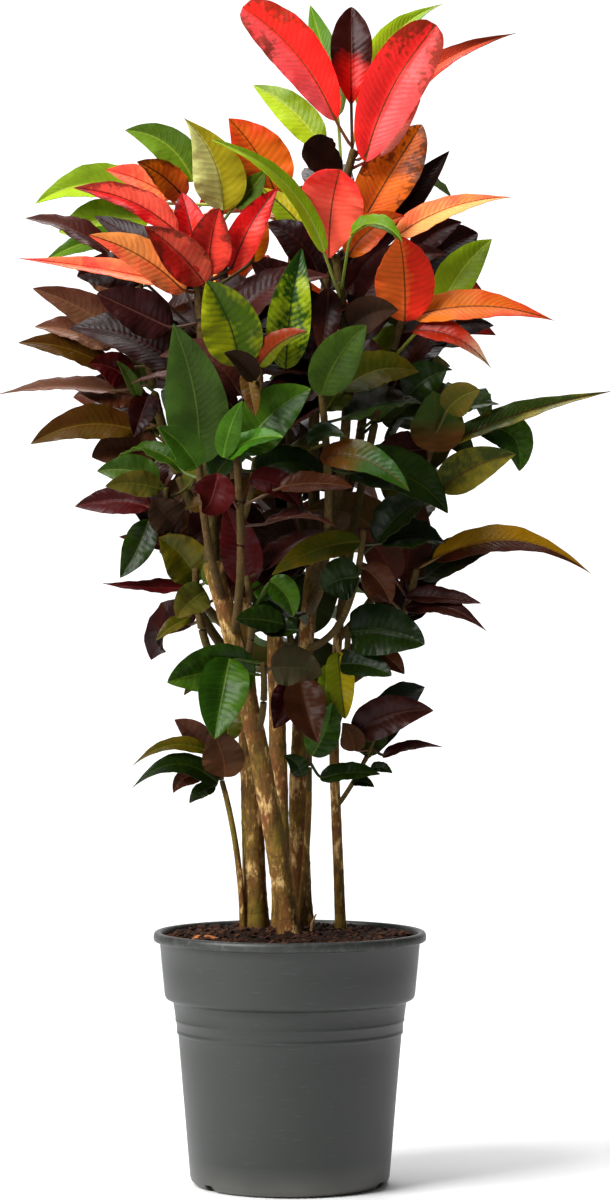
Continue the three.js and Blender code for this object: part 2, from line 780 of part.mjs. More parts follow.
/* One blade as closed rings of four: edge, upper midrib, edge, lower midrib. It grows from a point sunk in the stem,
   or from a ring there if its petiole is long, to its base, and arches from there to its tip. Swell thickens it for
   the test of its room. */
function bladeRings(leaf, swell) {
  const { root, base, tip, width, arch, face, twist, fold, wave, outline } = leaf;
  const chord = unit(add(tip, base, -1));
  const lift = across([0, -0.2, 1], chord);
  const middle = add(add([0, 0, 0], base, 0.5), tip, 0.5);
  const control = add(middle, lift, 2 * arch);
  const curve = quadratic(base, control, tip);
  const peak = outline.rise / (outline.rise + outline.fall);
  const petiole = unit(add(base, root, -1));
  const points = [];

  function ring(centre, along, share, half, thickness, rise) {
    const turn = radians(face + twist * share);
    const normal = across([0, -Math.sin(turn), Math.cos(turn)], along);
    const side = cross(along, normal);
    const lean = radians(fold) * (share > 0 ? 1 : 0);
    const reach = half + swell;
    const left = add(add(centre, side, -reach * Math.cos(lean)), normal, reach * Math.sin(lean) + rise);
    const right = add(add(centre, side, reach * Math.cos(lean)), normal, reach * Math.sin(lean) - rise);
    const depth = thickness / 2 + swell;
    points.push(left, add(centre, normal, depth), right, add(centre, normal, -depth));
  }

  if (leaf.stalked) {
    ring(root, petiole, 0, petioleHalf, 2 * petioleHalf, 0);
  } else {
    points.push(add(root, petiole, -rootSink));
  }
  ring(base, unit(add(petiole, unit(add(control, base, -1)))), 0, petioleHalf + 0.8, 2 * petioleHalf, 0);
  for (const share of stations[leaf.size]) {
    const start = add([0, 0, 0], add(control, base, -1), 1 - share);
    const along = unit(add(start, add(tip, control, -1), share));
    const rise = (share / peak) ** outline.rise * ((1 - share) / (1 - peak)) ** outline.fall;
    const thickness = midribThickness * (1 - 0.45 * share);
    const half = (width / 2) * rise;
    ring(curve(share), along, share, half, thickness, wave * half * Math.sin(13 * share + face));
  }
  points.push(add(tip, unit(add(tip, control, -1)), swell));
  return points;
}

// The faces between those points, split alike above and below. The blade's own faces leave out the petiole's.
function bladeFaces(stalked, size) {
  const faces = [];
  const first = stalked ? 4 : 1;
  if (stalked) {
    faces.push([0, 3, 1], [1, 3, 2]);
  } else {
    faces.push([0, 2, 1], [0, 3, 2], [0, 4, 3], [0, 1, 4]);
  }
  const last = first + 4 * stations[size].length;
  for (let near = first % 4; near < last; near += 4) {
    const far = near + 4;
    faces.push([near, far + 1, far], [near, near + 1, far + 1]);
    faces.push([near + 2, far + 1, near + 1], [near + 2, far + 2, far + 1]);
    faces.push([near + 2, far + 3, far + 2], [near + 2, near + 3, far + 3]);
    faces.push([near, far + 3, near + 3], [near, far, far + 3]);
  }
  for (let side = 0; side < 4; side += 1) {
    faces.push([last + side, last + ((side + 1) % 4), last + 4]);
  }
  const own = faces.filter((face) => face.every((corner) => corner >= first));
  return { faces, first, own: own.map((face) => face.map((corner) => corner - first)) };
}

function bladeNets(leaf, swell) {
  const { faces, first, own } = bladeFaces(leaf.stalked, leaf.size);
  const points = bladeRings(leaf, swell);
  return { whole: net(points, faces), blade: net(points.slice(first), own) };
}

function blade(leaf) {
  const geometry = new THREE.BufferGeometry();
  const points = bladeRings(leaf, 0);
  geometry.setAttribute('position', new THREE.BufferAttribute(new Float32Array(points.flat()), 3));
  geometry.setIndex(bladeFaces(leaf.stalked, leaf.size).faces.flat());
  return geometry;
}

// Room: a triangle net with its box and its edges, and whether one net's edges pass through another's faces
function net(points, triangles) {
  const low = [0, 1, 2].map((axis) => Math.min(...points.map((point) => point[axis])));
  const high = [0, 1, 2].map((axis) => Math.max(...points.map((point) => point[axis])));
  const edges = [];
  for (const [a, b, c] of triangles) {
    for (const [from, to] of [[a, b], [b, c], [c, a]]) {
      if (from < to) {
        edges.push([from, to]);
      }
    }
  }
  return { points, triangles, edges, low, high };
}

function apart(lowA, highA, lowB, highB) {
  return [0, 1, 2].some((axis) => lowA[axis] > highB[axis] || lowB[axis] > highA[axis]);
}

function volume(a, b, c, d) {
  return dot(cross(add(b, a, -1), add(c, a, -1)), add(d, a, -1));
}

function pierces(one, other) {
  const near = other.triangles.filter((corners) => {
    const points = corners.map((corner) => other.points[corner]);
    const low = [0, 1, 2].map((axis) => Math.min(points[0][axis], points[1][axis], points[2][axis]));
    const high = [0, 1, 2].map((axis) => Math.max(points[0][axis], points[1][axis], points[2][axis]));
    return !apart(low, high, one.low, one.high);
  });
  for (const [from, to] of near.length > 0 ? one.edges : []) {
    const p = one.points[from];
    const q = one.points[to];
    for (const corners of near) {
      const [a, b, c] = corners.map((corner) => other.points[corner]);
      if (volume(a, b, c, p) * volume(a, b, c, q) < 0) {
        const ab = volume(p, q, a, b);
        const bc = volume(p, q, b, c);
        const ca = volume(p, q, c, a);
        if ((ab > 0 && bc > 0 && ca > 0) || (ab < 0 && bc < 0 && ca < 0)) {
          return true;
        }
      }
    }
  }
  return false;
}

function meets(one, other) {
  return !apart(one.low, one.high, other.low, other.high) && (pierces(one, other) || pierces(other, one));
}

// A stem's net: rings of a few points round its path
function stemNet(path, from, to, girth, steps, swell) {
  const sides = 6;
  const points = [];
  const triangles = [];
  for (let i = 0; i <= steps; i += 1) {
    const length = from + ((to - from) * i) / steps;
    const centre = pointAt(path, length);
    const along = unit(add(pointAt(path, length + 1), pointAt(path, length - 1), -1));
    const side = across([1, 0.1, 0], along);
    const normal = cross(along, side);
    const radius = girth[0] + ((girth[1] - girth[0]) * i) / steps + swell;
    for (let j = 0; j < sides; j += 1) {
      const turn = (2 * Math.PI * j) / sides;
      points.push(add(add(centre, side, radius * Math.cos(turn)), normal, radius * Math.sin(turn)));
      if (i > 0) {
        const here = sides * i + j;
        const next = sides * i + ((j + 1) % sides);
        triangles.push([here - sides, next - sides, next], [here - sides, next, here]);
      }
    }
  }
  return net(points, triangles);
}

const canePaths = {};
for (const [name, cane] of Object.entries(canes)) {
  canePaths[name] = route(cubic(cane.points));
}

const caneSteps = (path) => Math.max(2, Math.round(path.length / caneStep));
const stemSteps = (length) => Math.max(1, Math.round(length / stemStep));

function girthAt(girth, share) {
  return girth[0] + (girth[1] - girth[0]) * share;
}

// Limbs: each shoot's path with the lengths where its bare wood ends and its parts begin and end
const limbs = {};
for (const [name, shoot] of Object.entries(shoots)) {
  const canePath = canePaths[shoot.cane];
  const start = pointAt(canePath, canePath.length * shoot.at);
  const path = route(quadratic(start, shoot.bend, shoot.tip));
  const parts = [];
  let top = path.length;
  for (const part of shoot.parts) {
    const foot = top - part.length;
    const girth = [girthAt(shoot.girth, foot / path.length), girthAt(shoot.girth, top / path.length)];
    parts.push({ ...part, node: `${name}_${part.colour}`, from: foot + touchGap, to: top, girth });
    top = foot;
  }
  const woodGirth = [shoot.girth[0], girthAt(shoot.girth, top / path.length)];
  limbs[name] = { path, parts, woodLength: top, woodGirth, cane: shoot.cane };
}

// What stands before the leaves do: canes, bare limbs and the stems of all the parts
const taken = [];
for (const [name, cane] of Object.entries(canes)) {
  const path = canePaths[name];
  taken.push({ node: name, whole: stemNet(path, touchGap, path.length, cane.girth, caneSteps(path), 0.5) });
}
for (const limb of Object.values(limbs)) {
  const { path, woodLength, woodGirth, cane } = limb;
  taken.push({ node: cane, whole: stemNet(path, 0, woodLength, woodGirth, stemSteps(woodLength), 0.5) });
  for (const part of limb.parts) {
    const shape = stemNet(path, part.from, part.to, part.girth, stemSteps(part.length), 0.5);
    taken.push({ node: part.node, whole: shape, blade: shape });
  }
}

function nearestLength(path, from, to, point) {
  let best = from;
  let least = Infinity;
  const count = 24;
  for (let i = 0; i <= count; i += 1) {
    const length = from + ((to - from) * i) / count;
    const gap = add(pointAt(path, length), point, -1);
    gap[1] = 0;
    const measure = dot(gap, gap);
    if (measure < least - 1e-6) {
      least = measure;
      best = length;
    }
  }
  return best;
}

// A point on the straight steps that a part's stem is built of
function pointOnSteps(path, part, length) {
  const steps = stemSteps(part.length);
  const share = ((length - part.from) / (part.to - part.from)) * steps;
  const i = Math.min(Math.floor(share), steps - 1);
  const [near, far] = [i, i + 1].map((at) => pointAt(path, part.from + ((part.to - part.from) * at) / steps));
  return add(near, add(far, near, -1), share - i);
}

// The free root nearest to the wanted length of a stem: roots on one stem keep their gap from one another
function freeRoot(roots, from, to, wanted, gap) {
  for (let step = 0; step < 60; step += 1) {
    for (const side of [-1, 1]) {
      const length = wanted + side * step;
      if (length >= from && length <= to && roots.every((root) => Math.abs(root - length) >= gap)) {
        return length;
      }
    }
  }
  return wanted;
}

function withinCrown(point) {
  let i = 1;
  while (i < crown.length - 1 && crown[i][0] < point[2]) {
    i += 1;
  }
  const share = (point[2] - crown[i - 1][0]) / (crown[i][0] - crown[i - 1][0]);
  const left = crown[i - 1][1] + (crown[i][1] - crown[i - 1][1]) * share;
  const right = crown[i - 1][2] + (crown[i][2] - crown[i - 1][2]) * share;
  return share > -0.4 && share < 1.2 && point[0] > left && point[0] < right;
}

// The first of the tries that has room is taken. Leaves of one node may cross, but only as a last resort.
function settle(node, tries, lastResort) {
  for (const strict of lastResort ? [true, false] : [true]) {
    for (const leaf of tries) {
      const room = bladeNets(leaf, leafRoom);
      const blocked = taken.some((thing) => {
        if (thing.node !== node) {
          return meets(room.whole, thing.whole);
        }
        return strict && thing.blade !== undefined && meets(room.blade, thing.blade);
      });
      if (!blocked) {
        taken.push({ node, ...bladeNets(leaf, 0) });
        return leaf;
      }
    }
  }
  return null;
}

// Leaves set by hand are given as they look from the front, where nearer ones look larger round the eye's line
const viewDistance = 3620;
const viewAcross = 15;
const viewHeight = 580;

function seenAt(x, depth, z) {
  const share = 1 + depth / viewDistance;
  return [viewAcross + (x - viewAcross) * share, depth, viewHeight + (z - viewHeight) * share];
}

const depthTries = [0, -10, 10, -20, 20, -30, 30, -42, 42, -56, 56, -70, 70, -85, 85];
const archTries = [0, 6, -6];
const rootTries = [0, -9, -18];
const baseShift = 0.45;

function drawnForm() {
  return { twist: draw(-14, 14), fold: bladeFold + draw(-5, 8), wave: draw(0.04, 0.12) };
}

const settled = {};
for (const limb of Object.values(limbs)) {
  for (const part of limb.parts) {
    settled[part.node] = [];
    part.roots = [];
    const lowest = part.from + rootMargin;
    const highest = part.to - 2;
    const gap = Math.min(rootGap, (highest - lowest) / (part.leaves.length + part.rule + 1));
    for (const [baseX, baseZ, tipX, tipZ, depth, width, arch, face, outline] of part.leaves) {
      const form = drawnForm();
      const nearest = nearestLength(limb.path, lowest, highest, [baseX, 0, baseZ]);
      const tries = [];
      for (const drop of rootTries) {
        const rootLength = freeRoot(part.roots, lowest, highest, Math.max(lowest, nearest + drop), gap);
        const root = pointOnSteps(limb.path, part, rootLength);
        for (const shift of depthTries) {
          for (const bow of archTries) {
            const tip = seenAt(tipX, root[1] + depth + shift, tipZ);
            const petiole = Math.hypot(baseX - root[0], baseZ - root[2]);
            const length = Math.hypot(tipX - baseX, tipZ - baseZ);
            const share = petiole / (petiole + length);
            const stalked = petiole > longPetiole;
            const size = length < smallBlade ? 'small' : 'large';
            const baseDepth = root[1] + depth * share + shift * Math.max(share, baseShift);
            const base = seenAt(baseX, baseDepth, baseZ);
            const bend = { width, arch: arch + bow, face, outline: outlines[outline] };
            tries.push({ root, base, tip, stalked, size, rootLength, ...bend, ...form });
          }
        }
      }
      const leaf = settle(part.node, tries, true);
      if (leaf) {
        settled[part.node].push(leaf);
        part.roots.push(leaf.rootLength);
      }
    }
  }
}

// Leaves set by rule go round each stem by the golden turn, where they find room
let turnNow = 20;
for (const [name, limb] of Object.entries(limbs)) {
  for (const part of limb.parts) {
    for (let i = 0; i < part.rule; i += 1) {
      turnNow = (turnNow + goldenTurn) % 360;
      const form = drawnForm();
      const length = draw(ruleLength.low, ruleLength.high);
      const width = draw(ruleWidth.low, ruleWidth.high);
      const rise = draw(ruleRise.low, ruleRise.high);
      const arch = draw(ruleDroop.low, ruleDroop.high);
      const behind = name.startsWith('back_');
      const face = draw(ruleFace.low, ruleFace.high) * (behind ? -1 : 1);
      const lowest = part.from + rootMargin;
      const highest = part.to - 2;
      const gap = Math.min(rootGap, (highest - lowest) / (part.leaves.length + part.rule + 1));
      const along = lowest + ((highest - lowest) * (i + 0.5)) / part.rule;
      const rootLength = freeRoot(part.roots, lowest, highest, along, gap);
      const root = pointOnSteps(limb.path, part, rootLength);
      const tries = [];
      for (let attempt = 0; attempt < 16; attempt += 1) {
        const turn = radians(turnNow + attempt * 67);
        const climb = radians(rise - 12 * (attempt % 3));
        const heading = [Math.cos(turn) * Math.cos(climb), Math.sin(turn) * Math.cos(climb), Math.sin(climb)];
        const base = add(root, heading, rulePetiole);
        const tip = add(base, heading, attempt < 8 ? length : shortened * length);
        const open = behind ? heading[1] > -0.8 : heading[1] > -0.12;
        if (open && withinCrown(tip) && withinCrown(base)) {
          tip[2] -= 0.5 * arch;
          const bend = { width, arch, face, outline: outlines.lance };
          tries.push({ root, base, tip, stalked: false, size: 'small', rootLength, ...bend, ...form });
        }
      }
      const leaf = settle(part.node, tries, false);
      if (leaf) {
        settled[part.node].push(leaf);
        part.roots.push(leaf.rootLength);
      }
    }
  }
}

// The plant: canes with their bare limbs, then each part's stem with its leaves
const plant = new THREE.Group();
plant.add(pot());
plant.add(soil(canePaths));

for (const [name, cane] of Object.entries(canes)) {
  const path = canePaths[name];
  let body = solid(stem(path, touchGap, path.length, cane.girth, caneSides, caneSteps(path)));
  for (const limb of Object.values(limbs)) {
    if (limb.cane === name) {
      const { path: limbPath, woodLength, woodGirth } = limb;
      body = body.add(solid(stem(limbPath, 0, woodLength, woodGirth, stemSides, stemSteps(woodLength))));
    }
  }
  plant.add(meshFrom(body, `cane_${name}`, material(colours.bark, 0.85)));
}

for (const limb of Object.values(limbs)) {
  for (const part of limb.parts) {
    let body = solid(stem(limb.path, part.from, part.to, part.girth, stemSides, stemSteps(part.length)));
    for (const leaf of settled[part.node]) {
      body = body.add(solid(blade(leaf)));
    }
    plant.add(meshFrom(body, part.node, material(colours[part.colour], 0.4)));
  }
}

export default plant;
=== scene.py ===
# A potted croton: the plastic pot, its peat, the woody canes and every leaf
import math
import random

import bpy
import numpy as np
from mathutils import Euler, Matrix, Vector, kdtree


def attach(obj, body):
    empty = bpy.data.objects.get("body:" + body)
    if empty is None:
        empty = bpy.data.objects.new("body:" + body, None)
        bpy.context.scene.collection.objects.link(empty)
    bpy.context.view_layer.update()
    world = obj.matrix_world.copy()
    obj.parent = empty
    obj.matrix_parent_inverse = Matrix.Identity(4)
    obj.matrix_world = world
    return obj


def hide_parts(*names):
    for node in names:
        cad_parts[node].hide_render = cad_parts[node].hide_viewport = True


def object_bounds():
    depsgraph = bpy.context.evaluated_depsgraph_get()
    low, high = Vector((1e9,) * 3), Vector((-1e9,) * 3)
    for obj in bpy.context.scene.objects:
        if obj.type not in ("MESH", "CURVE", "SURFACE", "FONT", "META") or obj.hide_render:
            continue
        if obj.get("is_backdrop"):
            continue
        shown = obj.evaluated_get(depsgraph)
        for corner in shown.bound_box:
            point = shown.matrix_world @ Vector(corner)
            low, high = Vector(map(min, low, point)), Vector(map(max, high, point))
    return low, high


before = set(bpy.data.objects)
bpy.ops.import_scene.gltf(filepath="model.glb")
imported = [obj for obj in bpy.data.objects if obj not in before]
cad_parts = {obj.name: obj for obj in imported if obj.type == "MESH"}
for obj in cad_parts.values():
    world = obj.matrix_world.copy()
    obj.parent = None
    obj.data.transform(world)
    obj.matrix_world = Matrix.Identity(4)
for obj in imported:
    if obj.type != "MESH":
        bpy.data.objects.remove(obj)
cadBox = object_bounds()
bpy.ops.object.select_all(action="DESELECT")
mm = 0.001
weldGap = 2e-6


# Shader wiring: sockets that add, multiply and subtract like numbers
class Wire:
    def __init__(self, tree, socket=None):
        self.tree = tree
        self.socket = socket

    def make(self, kind, settings=None, values=None, out=0):
        node = self.tree.nodes.new(kind)
        for name, value in (settings or {}).items():
            if name == "stops":
                ramp = node.color_ramp.elements
                while len(ramp) < len(value):
                    ramp.new(0.5)
                for element, (place, colour) in zip(ramp, value):
                    element.position = place
                    element.color = colour
            else:
                setattr(node, name, value)
        for name, value in (values or {}).items():
            if isinstance(value, Wire):
                self.tree.links.new(value.socket, node.inputs[name])
            else:
                node.inputs[name].default_value = value
        return Wire(self.tree, node.outputs[out] if len(node.outputs) else None)

    def sum(self, operation, *values):
        return self.make("ShaderNodeMath", {"operation": operation}, dict(enumerate(values)))

    def __add__(self, other):
        return self.sum("ADD", self, other)

    def __radd__(self, other):
        return self.sum("ADD", other, self)

    def __sub__(self, other):
        return self.sum("SUBTRACT", self, other)

    def __rsub__(self, other):
        return self.sum("SUBTRACT", other, self)

    def __mul__(self, other):
        return self.sum("MULTIPLY", self, other)

    def __rmul__(self, other):
        return self.sum("MULTIPLY", other, self)

    def size(self):
        return self.sum("ABSOLUTE", self)

    def held(self):
        return self.make("ShaderNodeClamp", None, {"Value": self})

    # 1 above a level and 0 below it, over an edge that the steepness narrows
    def above(self, level, steepness):
        return ((self - level) * steepness).held()

    def split(self):
        return [self.make("ShaderNodeSeparateXYZ", None, {"Vector": self}, out) for out in range(3)]

    def blend(self, factor, below, above, kind="MIX"):
        settings = {"data_type": "RGBA", "blend_type": kind}
        return self.make("ShaderNodeMix", settings, {0: factor, 6: below, 7: above}, 2)

    def noise(self, place, scale, detail=2.0, rough=0.5):
        values = {"Vector": place, "Scale": scale, "Detail": detail, "Roughness": rough}
        return self.make("ShaderNodeTexNoise", None, values)

    def place(self, output="Object"):
        return self.make("ShaderNodeTexCoord", None, None, output)

    def stretched(self, scale):
        return self.make("ShaderNodeMapping", None, {"Vector": self.place(), "Scale": scale})

    def attribute(self, title, output="Color"):
        return self.make("ShaderNodeAttribute", {"attribute_name": title}, None, output)


# A screen colour of 0 to 255 as Blender's linear one
def rgb(*channels):
    shares = [channel / 255 for channel in channels]
    return (*[share / 12.92 if share < 0.04045 else ((share + 0.055) / 1.055) ** 2.4 for share in shares], 1.0)


def finish(name):
    material = bpy.data.materials.new(name)
    material.use_nodes = True
    material.node_tree.nodes.clear()
    return material, Wire(material.node_tree)


# Closes a finish: its colour, roughness, gloss and the relief that a height gives with a strength and a depth
def shade(wire, colour, roughness, gloss, height, strength, depth):
    relief = wire.make("ShaderNodeBump", None, {"Strength": strength, "Distance": depth, "Height": height})
    surface = wire.make("ShaderNodeBsdfPrincipled", None, {
        "Base Color": colour, "Roughness": roughness, "Specular IOR Level": gloss, "Normal": relief})
    wire.make("ShaderNodeOutputMaterial", None, {"Surface": surface})


# Leaf colours: main, second and vein colour, then how the second colour spreads (along, edge, side, patches,
# level), how strong the side veins are, and how dark spots spread (patches, tip, edge)
leafLooks = {
    # ruby and rubyTwo: the pink second colour, spread over one half and in patches, is painted reflection, the sheen of
    # light on that half
    "ruby": ((250, 38, 34), (244, 84, 88), (128, 60, 18), (-0.2, 0, -0.7, 0.5, -0.3), 0.2, (0.8, 0.55, 0.3)),
    "rubyTwo": ((250, 46, 42), (246, 84, 86), (124, 64, 20), (-0.3, 0, 0.6, 0.5, -0.3), 0.2, (0.8, 0.6, 0.24)),
    "ember": ((196, 22, 14), (44, 9, 5), (70, 24, 6), (1.7, 0.2, 0, 0.6, 0.35), 0.2, (0.5, 0.2, 0)),
    "flame": ((240, 84, 54), (104, 30, 14), (120, 50, 16), (0.9, 0.2, -0.3, 0.3, -0.3), 0.2, (0.6, 0.5, 0.3)),
    "blush": ((240, 150, 134), (230, 104, 84), (190, 80, 50), (0.3, 0, 0, 0.2, -0.3), 0.2, (0, 0, 0)),
    "heart": ((252, 94, 74), (238, 40, 36), (128, 52, 12), (1.1, 0.1, 0, 0.6, -0.55), 0.32, (0.5, 0, 0.3)),
    "scarlet": ((218, 18, 20), (248, 90, 70), (100, 9, 6), (-0.5, -0.2, 0.5, 0.8, -0.1), 0.35, (0.85, 0.55, 0.4)),
    "garnet": ((192, 14, 16), (232, 56, 44), (72, 6, 4), (-0.6, -0.2, 0.4, 0.9, -0.1), 0.35, (0.8, 0.5, 0.35)),
    "coral": ((242, 82, 66), (250, 146, 90), (180, 42, 26), (-0.5, 0, 0, 0.7, -0.1), 0.28, (0.4, 0.2, 0.1)),
    "peach": ((250, 156, 82), (240, 88, 60), (126, 42, 8), (0.3, 0.1, -0.6, 0.7, -0.5), 0.32, (0.5, 0.1, 0)),
    "sulphur": ((176, 160, 12), (112, 122, 12), (62, 66, 8), (0.2, 0, 0.9, 0.3, 0), 0.3, (0.2, 0, 0)),
    "gold": ((206, 128, 12), (186, 78, 12), (100, 78, 8), (0.5, 0.2, 0, 0.7, -0.2), 0.35, (0.3, 0, 0)),
    "orange": ((222, 108, 24), (206, 58, 22), (100, 44, 8), (0.7, 0.3, 0, 0.8, -0.25), 0.28, (0.5, 0.2, 0.1)),
    "burnt": ((226, 112, 8), (226, 90, 34), (34, 32, 4), (-0.9, 0, 0, 0.5, -0.3), 0.3, (0.85, 0.62, 0.3)),
    "rust": ((226, 96, 28), (196, 26, 8), (60, 10, 3), (-0.3, 0.5, 0.7, 0.8, -0.2), 0.35, (0.7, 0.3, 0.3)),
    "curl": ((156, 34, 9), (150, 128, 104), (80, 20, 6), (1.4, 0, 0, 0.1, -0.7), 0.2, (0.3, 0, 0)),
    "ginger": ((118, 40, 8), (66, 70, 8), (48, 15, 4), (0.3, 0, 0.9, 0.6, -0.1), 0.3, (0.4, 0.1, 0)),
    "russet": ((116, 74, 53), (81, 42, 29), (131, 86, 63), (0.3, 0.2, 0.3, 0.6, -0.1), 0.25, (0, 0, 0)),
    "young": ((58, 104, 8), (34, 72, 4), (96, 134, 34), (0.2, 0, 0.4, 0.7, -0.1), 0.35, (0, 0, 0)),
    "fresh": ((88, 124, 7), (52, 84, 4), (128, 156, 46), (0.2, 0, 0.5, 0.6, -0.2), 0.35, (0, 0, 0)),
    "lime": ((152, 180, 24), (96, 126, 6), (176, 190, 74), (0.2, 0, 0.4, 0.6, -0.1), 0.35, (0, 0, 0)),
    "cream": ((248, 244, 156), (152, 140, 8), (120, 114, 18), (-0.5, 0, 1.1, 0.4, 0), 0.3, (0, 0, 0)),
    "streak": ((104, 124, 8), (166, 150, 14), (26, 40, 3), (-0.5, 0, 0.9, 1.1, 0), 0.4, (0.6, 0, 0)),
    "ribbed": ((150, 156, 18), (58, 82, 8), (24, 46, 5), (0.25, -0.4, 0.6, 1.0, -0.1), 0.45, (0.1, 0, 0)),
    "mottle": ((132, 150, 16), (30, 62, 5), (18, 42, 5), (0.6, -0.15, -0.1, 2.0, 0.1), 0.15, (0.1, 0, 0)),
    "leaf": ((30, 58, 4), (54, 86, 8), (78, 102, 22), (0.1, 0, -0.4, 0.9, -0.1), 0.35, (0, 0, 0)),
    "mist": ((50, 84, 20), (26, 54, 8), (78, 106, 36), (0.1, -0.3, 0.4, 0.8, -0.1), 0.4, (0, 0, 0)),
    "olive": ((55, 61, 4), (85, 68, 6), (94, 85, 17), (0.3, 0.2, 0, 0.7, -0.2), 0.25, (0.3, 0, 0)),
    "sage": ((68, 90, 26), (40, 64, 11), (96, 109, 42), (0.2, 0, 0.4, 0.6, -0.1), 0.3, (0, 0, 0)),
    "dark": ((14, 29, 2), (30, 48, 3), (42, 56, 7), (0.1, 0, 0.2, 0.7, -0.2), 0.25, (0, 0, 0)),
    "dusk": ((16, 26, 5), (40, 13, 8), (46, 33, 13), (0.2, 0.2, 0, 0.8, -0.1), 0.2, (0, 0, 0)),
    "bronzeGreen": ((31, 61, 5), (88, 48, 7), (79, 53, 9), (-1.4, 0.1, 0, 0.4, -0.4), 0.25, (0, 0, 0)),
    "patchy": ((37, 55, 6), (112, 101, 13), (70, 31, 13), (0, 0.3, 0.3, 1.0, -0.2), 0.3, (0, 0, 0)),
    "maroon": ((24, 5, 4), (44, 10, 6), (55, 14, 9), (0, 0.2, 0, 0.8, -0.2), 0.15, (0, 0, 0)),
    "plum": ((48, 17, 15), (66, 30, 22), (79, 37, 28), (0.3, 0, 0.2, 0.8, -0.2), 0.2, (0, 0, 0)),
    "mauve": ((57, 24, 24), (37, 12, 11), (103, 61, 53), (0, 0.2, 0, 0.8, -0.1), 0.3, (0, 0, 0)),
    "wine": ((70, 9, 11), (42, 5, 4), (96, 25, 22), (0.2, 0, 0.3, 0.7, -0.1), 0.2, (0, 0, 0)),
    "umber": ((77, 40, 18), (48, 18, 8), (98, 55, 26), (0.3, 0, 0.2, 0.7, -0.1), 0.25, (0, 0, 0)),
    "bronze": ((77, 52, 6), (61, 28, 6), (101, 74, 18), (0.3, 0, 0.2, 0.8, -0.1), 0.25, (0, 0, 0)),
    "gilt": ((160, 112, 6), (66, 24, 8), (140, 96, 20), (0.2, 0.1, 0.8, 0.6, -0.1), 0.25, (0, 0, 0)),
    "tan": ((98, 64, 46), (74, 44, 29), (116, 81, 57), (0.2, 0, 0.2, 0.5, -0.1), 0.25, (0, 0, 0)),
}
ruleLooks = {
    "red": ("scarlet", "heart", "garnet"), "orange": ("orange", "peach", "burnt"), "lime": ("lime", "fresh", "cream"),
    "green": ("dark", "leaf", "olive"), "maroon": ("maroon", "plum", "maroon"), "plum": ("plum", "umber", "mauve"),
    "bronze": ("bronze", "olive", "umber"),
}


# Leaf surface: how fine its clouds and grain are, its veins, the tints of its painted highlight (the paler bulges
# between the veins), spots and underside, and its roughness and gloss, each on top and underneath
leafSkin = {"clouds": 34, "grain": 150, "veinSlant": (0.05, 0.08), "veinWidth": 5, "midribWidth": (900, 950),
            "glow": (1.45, 1.35, 1.2, 1), "spot": (0.004, 0.003, 0.001, 1), "spotLevel": 1.02,
            "under": (0.13, 0.1, 0.05, 1), "underShare": 0.12, "roughness": (0.28, 0.48), "gloss": (0.13, 0.05),
            "relief": 0.6, "reliefDepth": 0.0011}


def leafFinish(name, under):
    material, wire = finish(name)
    main, second, vein = [wire.attribute(title) for title in ("main", "second", "vein")]
    x, v, half = wire.attribute("blade", "Vector").split()
    along, edge, side = wire.attribute("spread", "Vector").split()
    patches, level, rib = wire.attribute("level", "Vector").split()
    spots, spotTip, spotEdge = wire.attribute("spots", "Vector").split()
    veins = wire.attribute("veins", "Fac")
    out = x.size()
    clouds = wire.noise(wire.place(), leafSkin["clouds"], 3) * 2 - 1
    grain = wire.noise(wire.place(), leafSkin["grain"], 4, 0.6)

    # side veins leave the midrib forwards, with the blade puffed up between them
    bow, slant = leafSkin["veinSlant"]
    phase = (v - out * (out * bow + slant)) * veins + clouds * 0.55 + grain * 0.3
    across = (phase.sum("FRACT", phase) - 0.5).size() * 2
    line = (1 - across * leafSkin["veinWidth"]).held() * (1 - out * out * 0.8) * (v * 12).held()
    taper, foot = leafSkin["midribWidth"]
    midrib = (1.5 - out * half * (v * taper + foot)).held()

    # the second colour spreads along, to the edge, to one side and in patches; on the ruby looks the pink second colour
    # on one side is a painted reflection
    halves = (x * 2.5 + 0.5).held() * 2 - 1
    marbled = clouds * 1.2 + (grain - 0.5) * 1.4 + (0.5 - across) * 0.2
    turn = along * (v * 2 - 1) + edge * (out * 2 - 1) + side * halves + patches * marbled + level + 0.5
    colour = wire.blend(turn.held(), main, second)
    dark = (spots * (grain * 1.3 + clouds * 0.5) + spotTip * v + spotEdge * out * out).above(leafSkin["spotLevel"], 5)
    darker = wire.blend(0.62, wire.blend(0.3, vein, colour), leafSkin["spot"])
    colour = wire.blend(dark * 0.85, colour, darker)
    # painted highlight: the colour turns paler where the blade bulges between the veins and on its broad swells, with
    # some random paler grain
    pale = wire.blend(1, colour, leafSkin["glow"], "MULTIPLY")
    glow = wire.blend(((grain - 0.5) * 1.1 + across * 0.28 + clouds * 0.6).held(), colour, pale)
    colour = wire.blend(midrib * 0.8, wire.blend(line * rib, glow, vein), vein)
    height = across * (0.34 - out * 0.22) + grain * 0.4 + clouds * 1.3 - midrib * 0.4
    if under:
        colour = wire.blend(leafSkin["underShare"], colour, leafSkin["under"])
        height = 1 - height
    roughness = leafSkin["roughness"][under] + grain * 0.16
    shade(wire, colour, roughness, leafSkin["gloss"][under], height, leafSkin["relief"], leafSkin["reliefDepth"])
    return material


def stalkFinish(name):
    material, wire = finish(name)
    vein = wire.attribute("vein")
    x, v, half = wire.attribute("blade", "Vector").split()
    grain = wire.noise(wire.stretched((1, 1, 0.4)), 320, 3)
    stalk = wire.blend(0.5, vein, (0.045, 0.05, 0.018, 1))
    colour = wire.blend((v * 6 + 0.4).held(), stalk, vein)
    colour = wire.blend(grain * 0.35, colour, (0.02, 0.015, 0.008, 1))
    shade(wire, colour, 0.4 + grain * 0.15, 0.25, grain, 0.3, 0.0004)
    return material
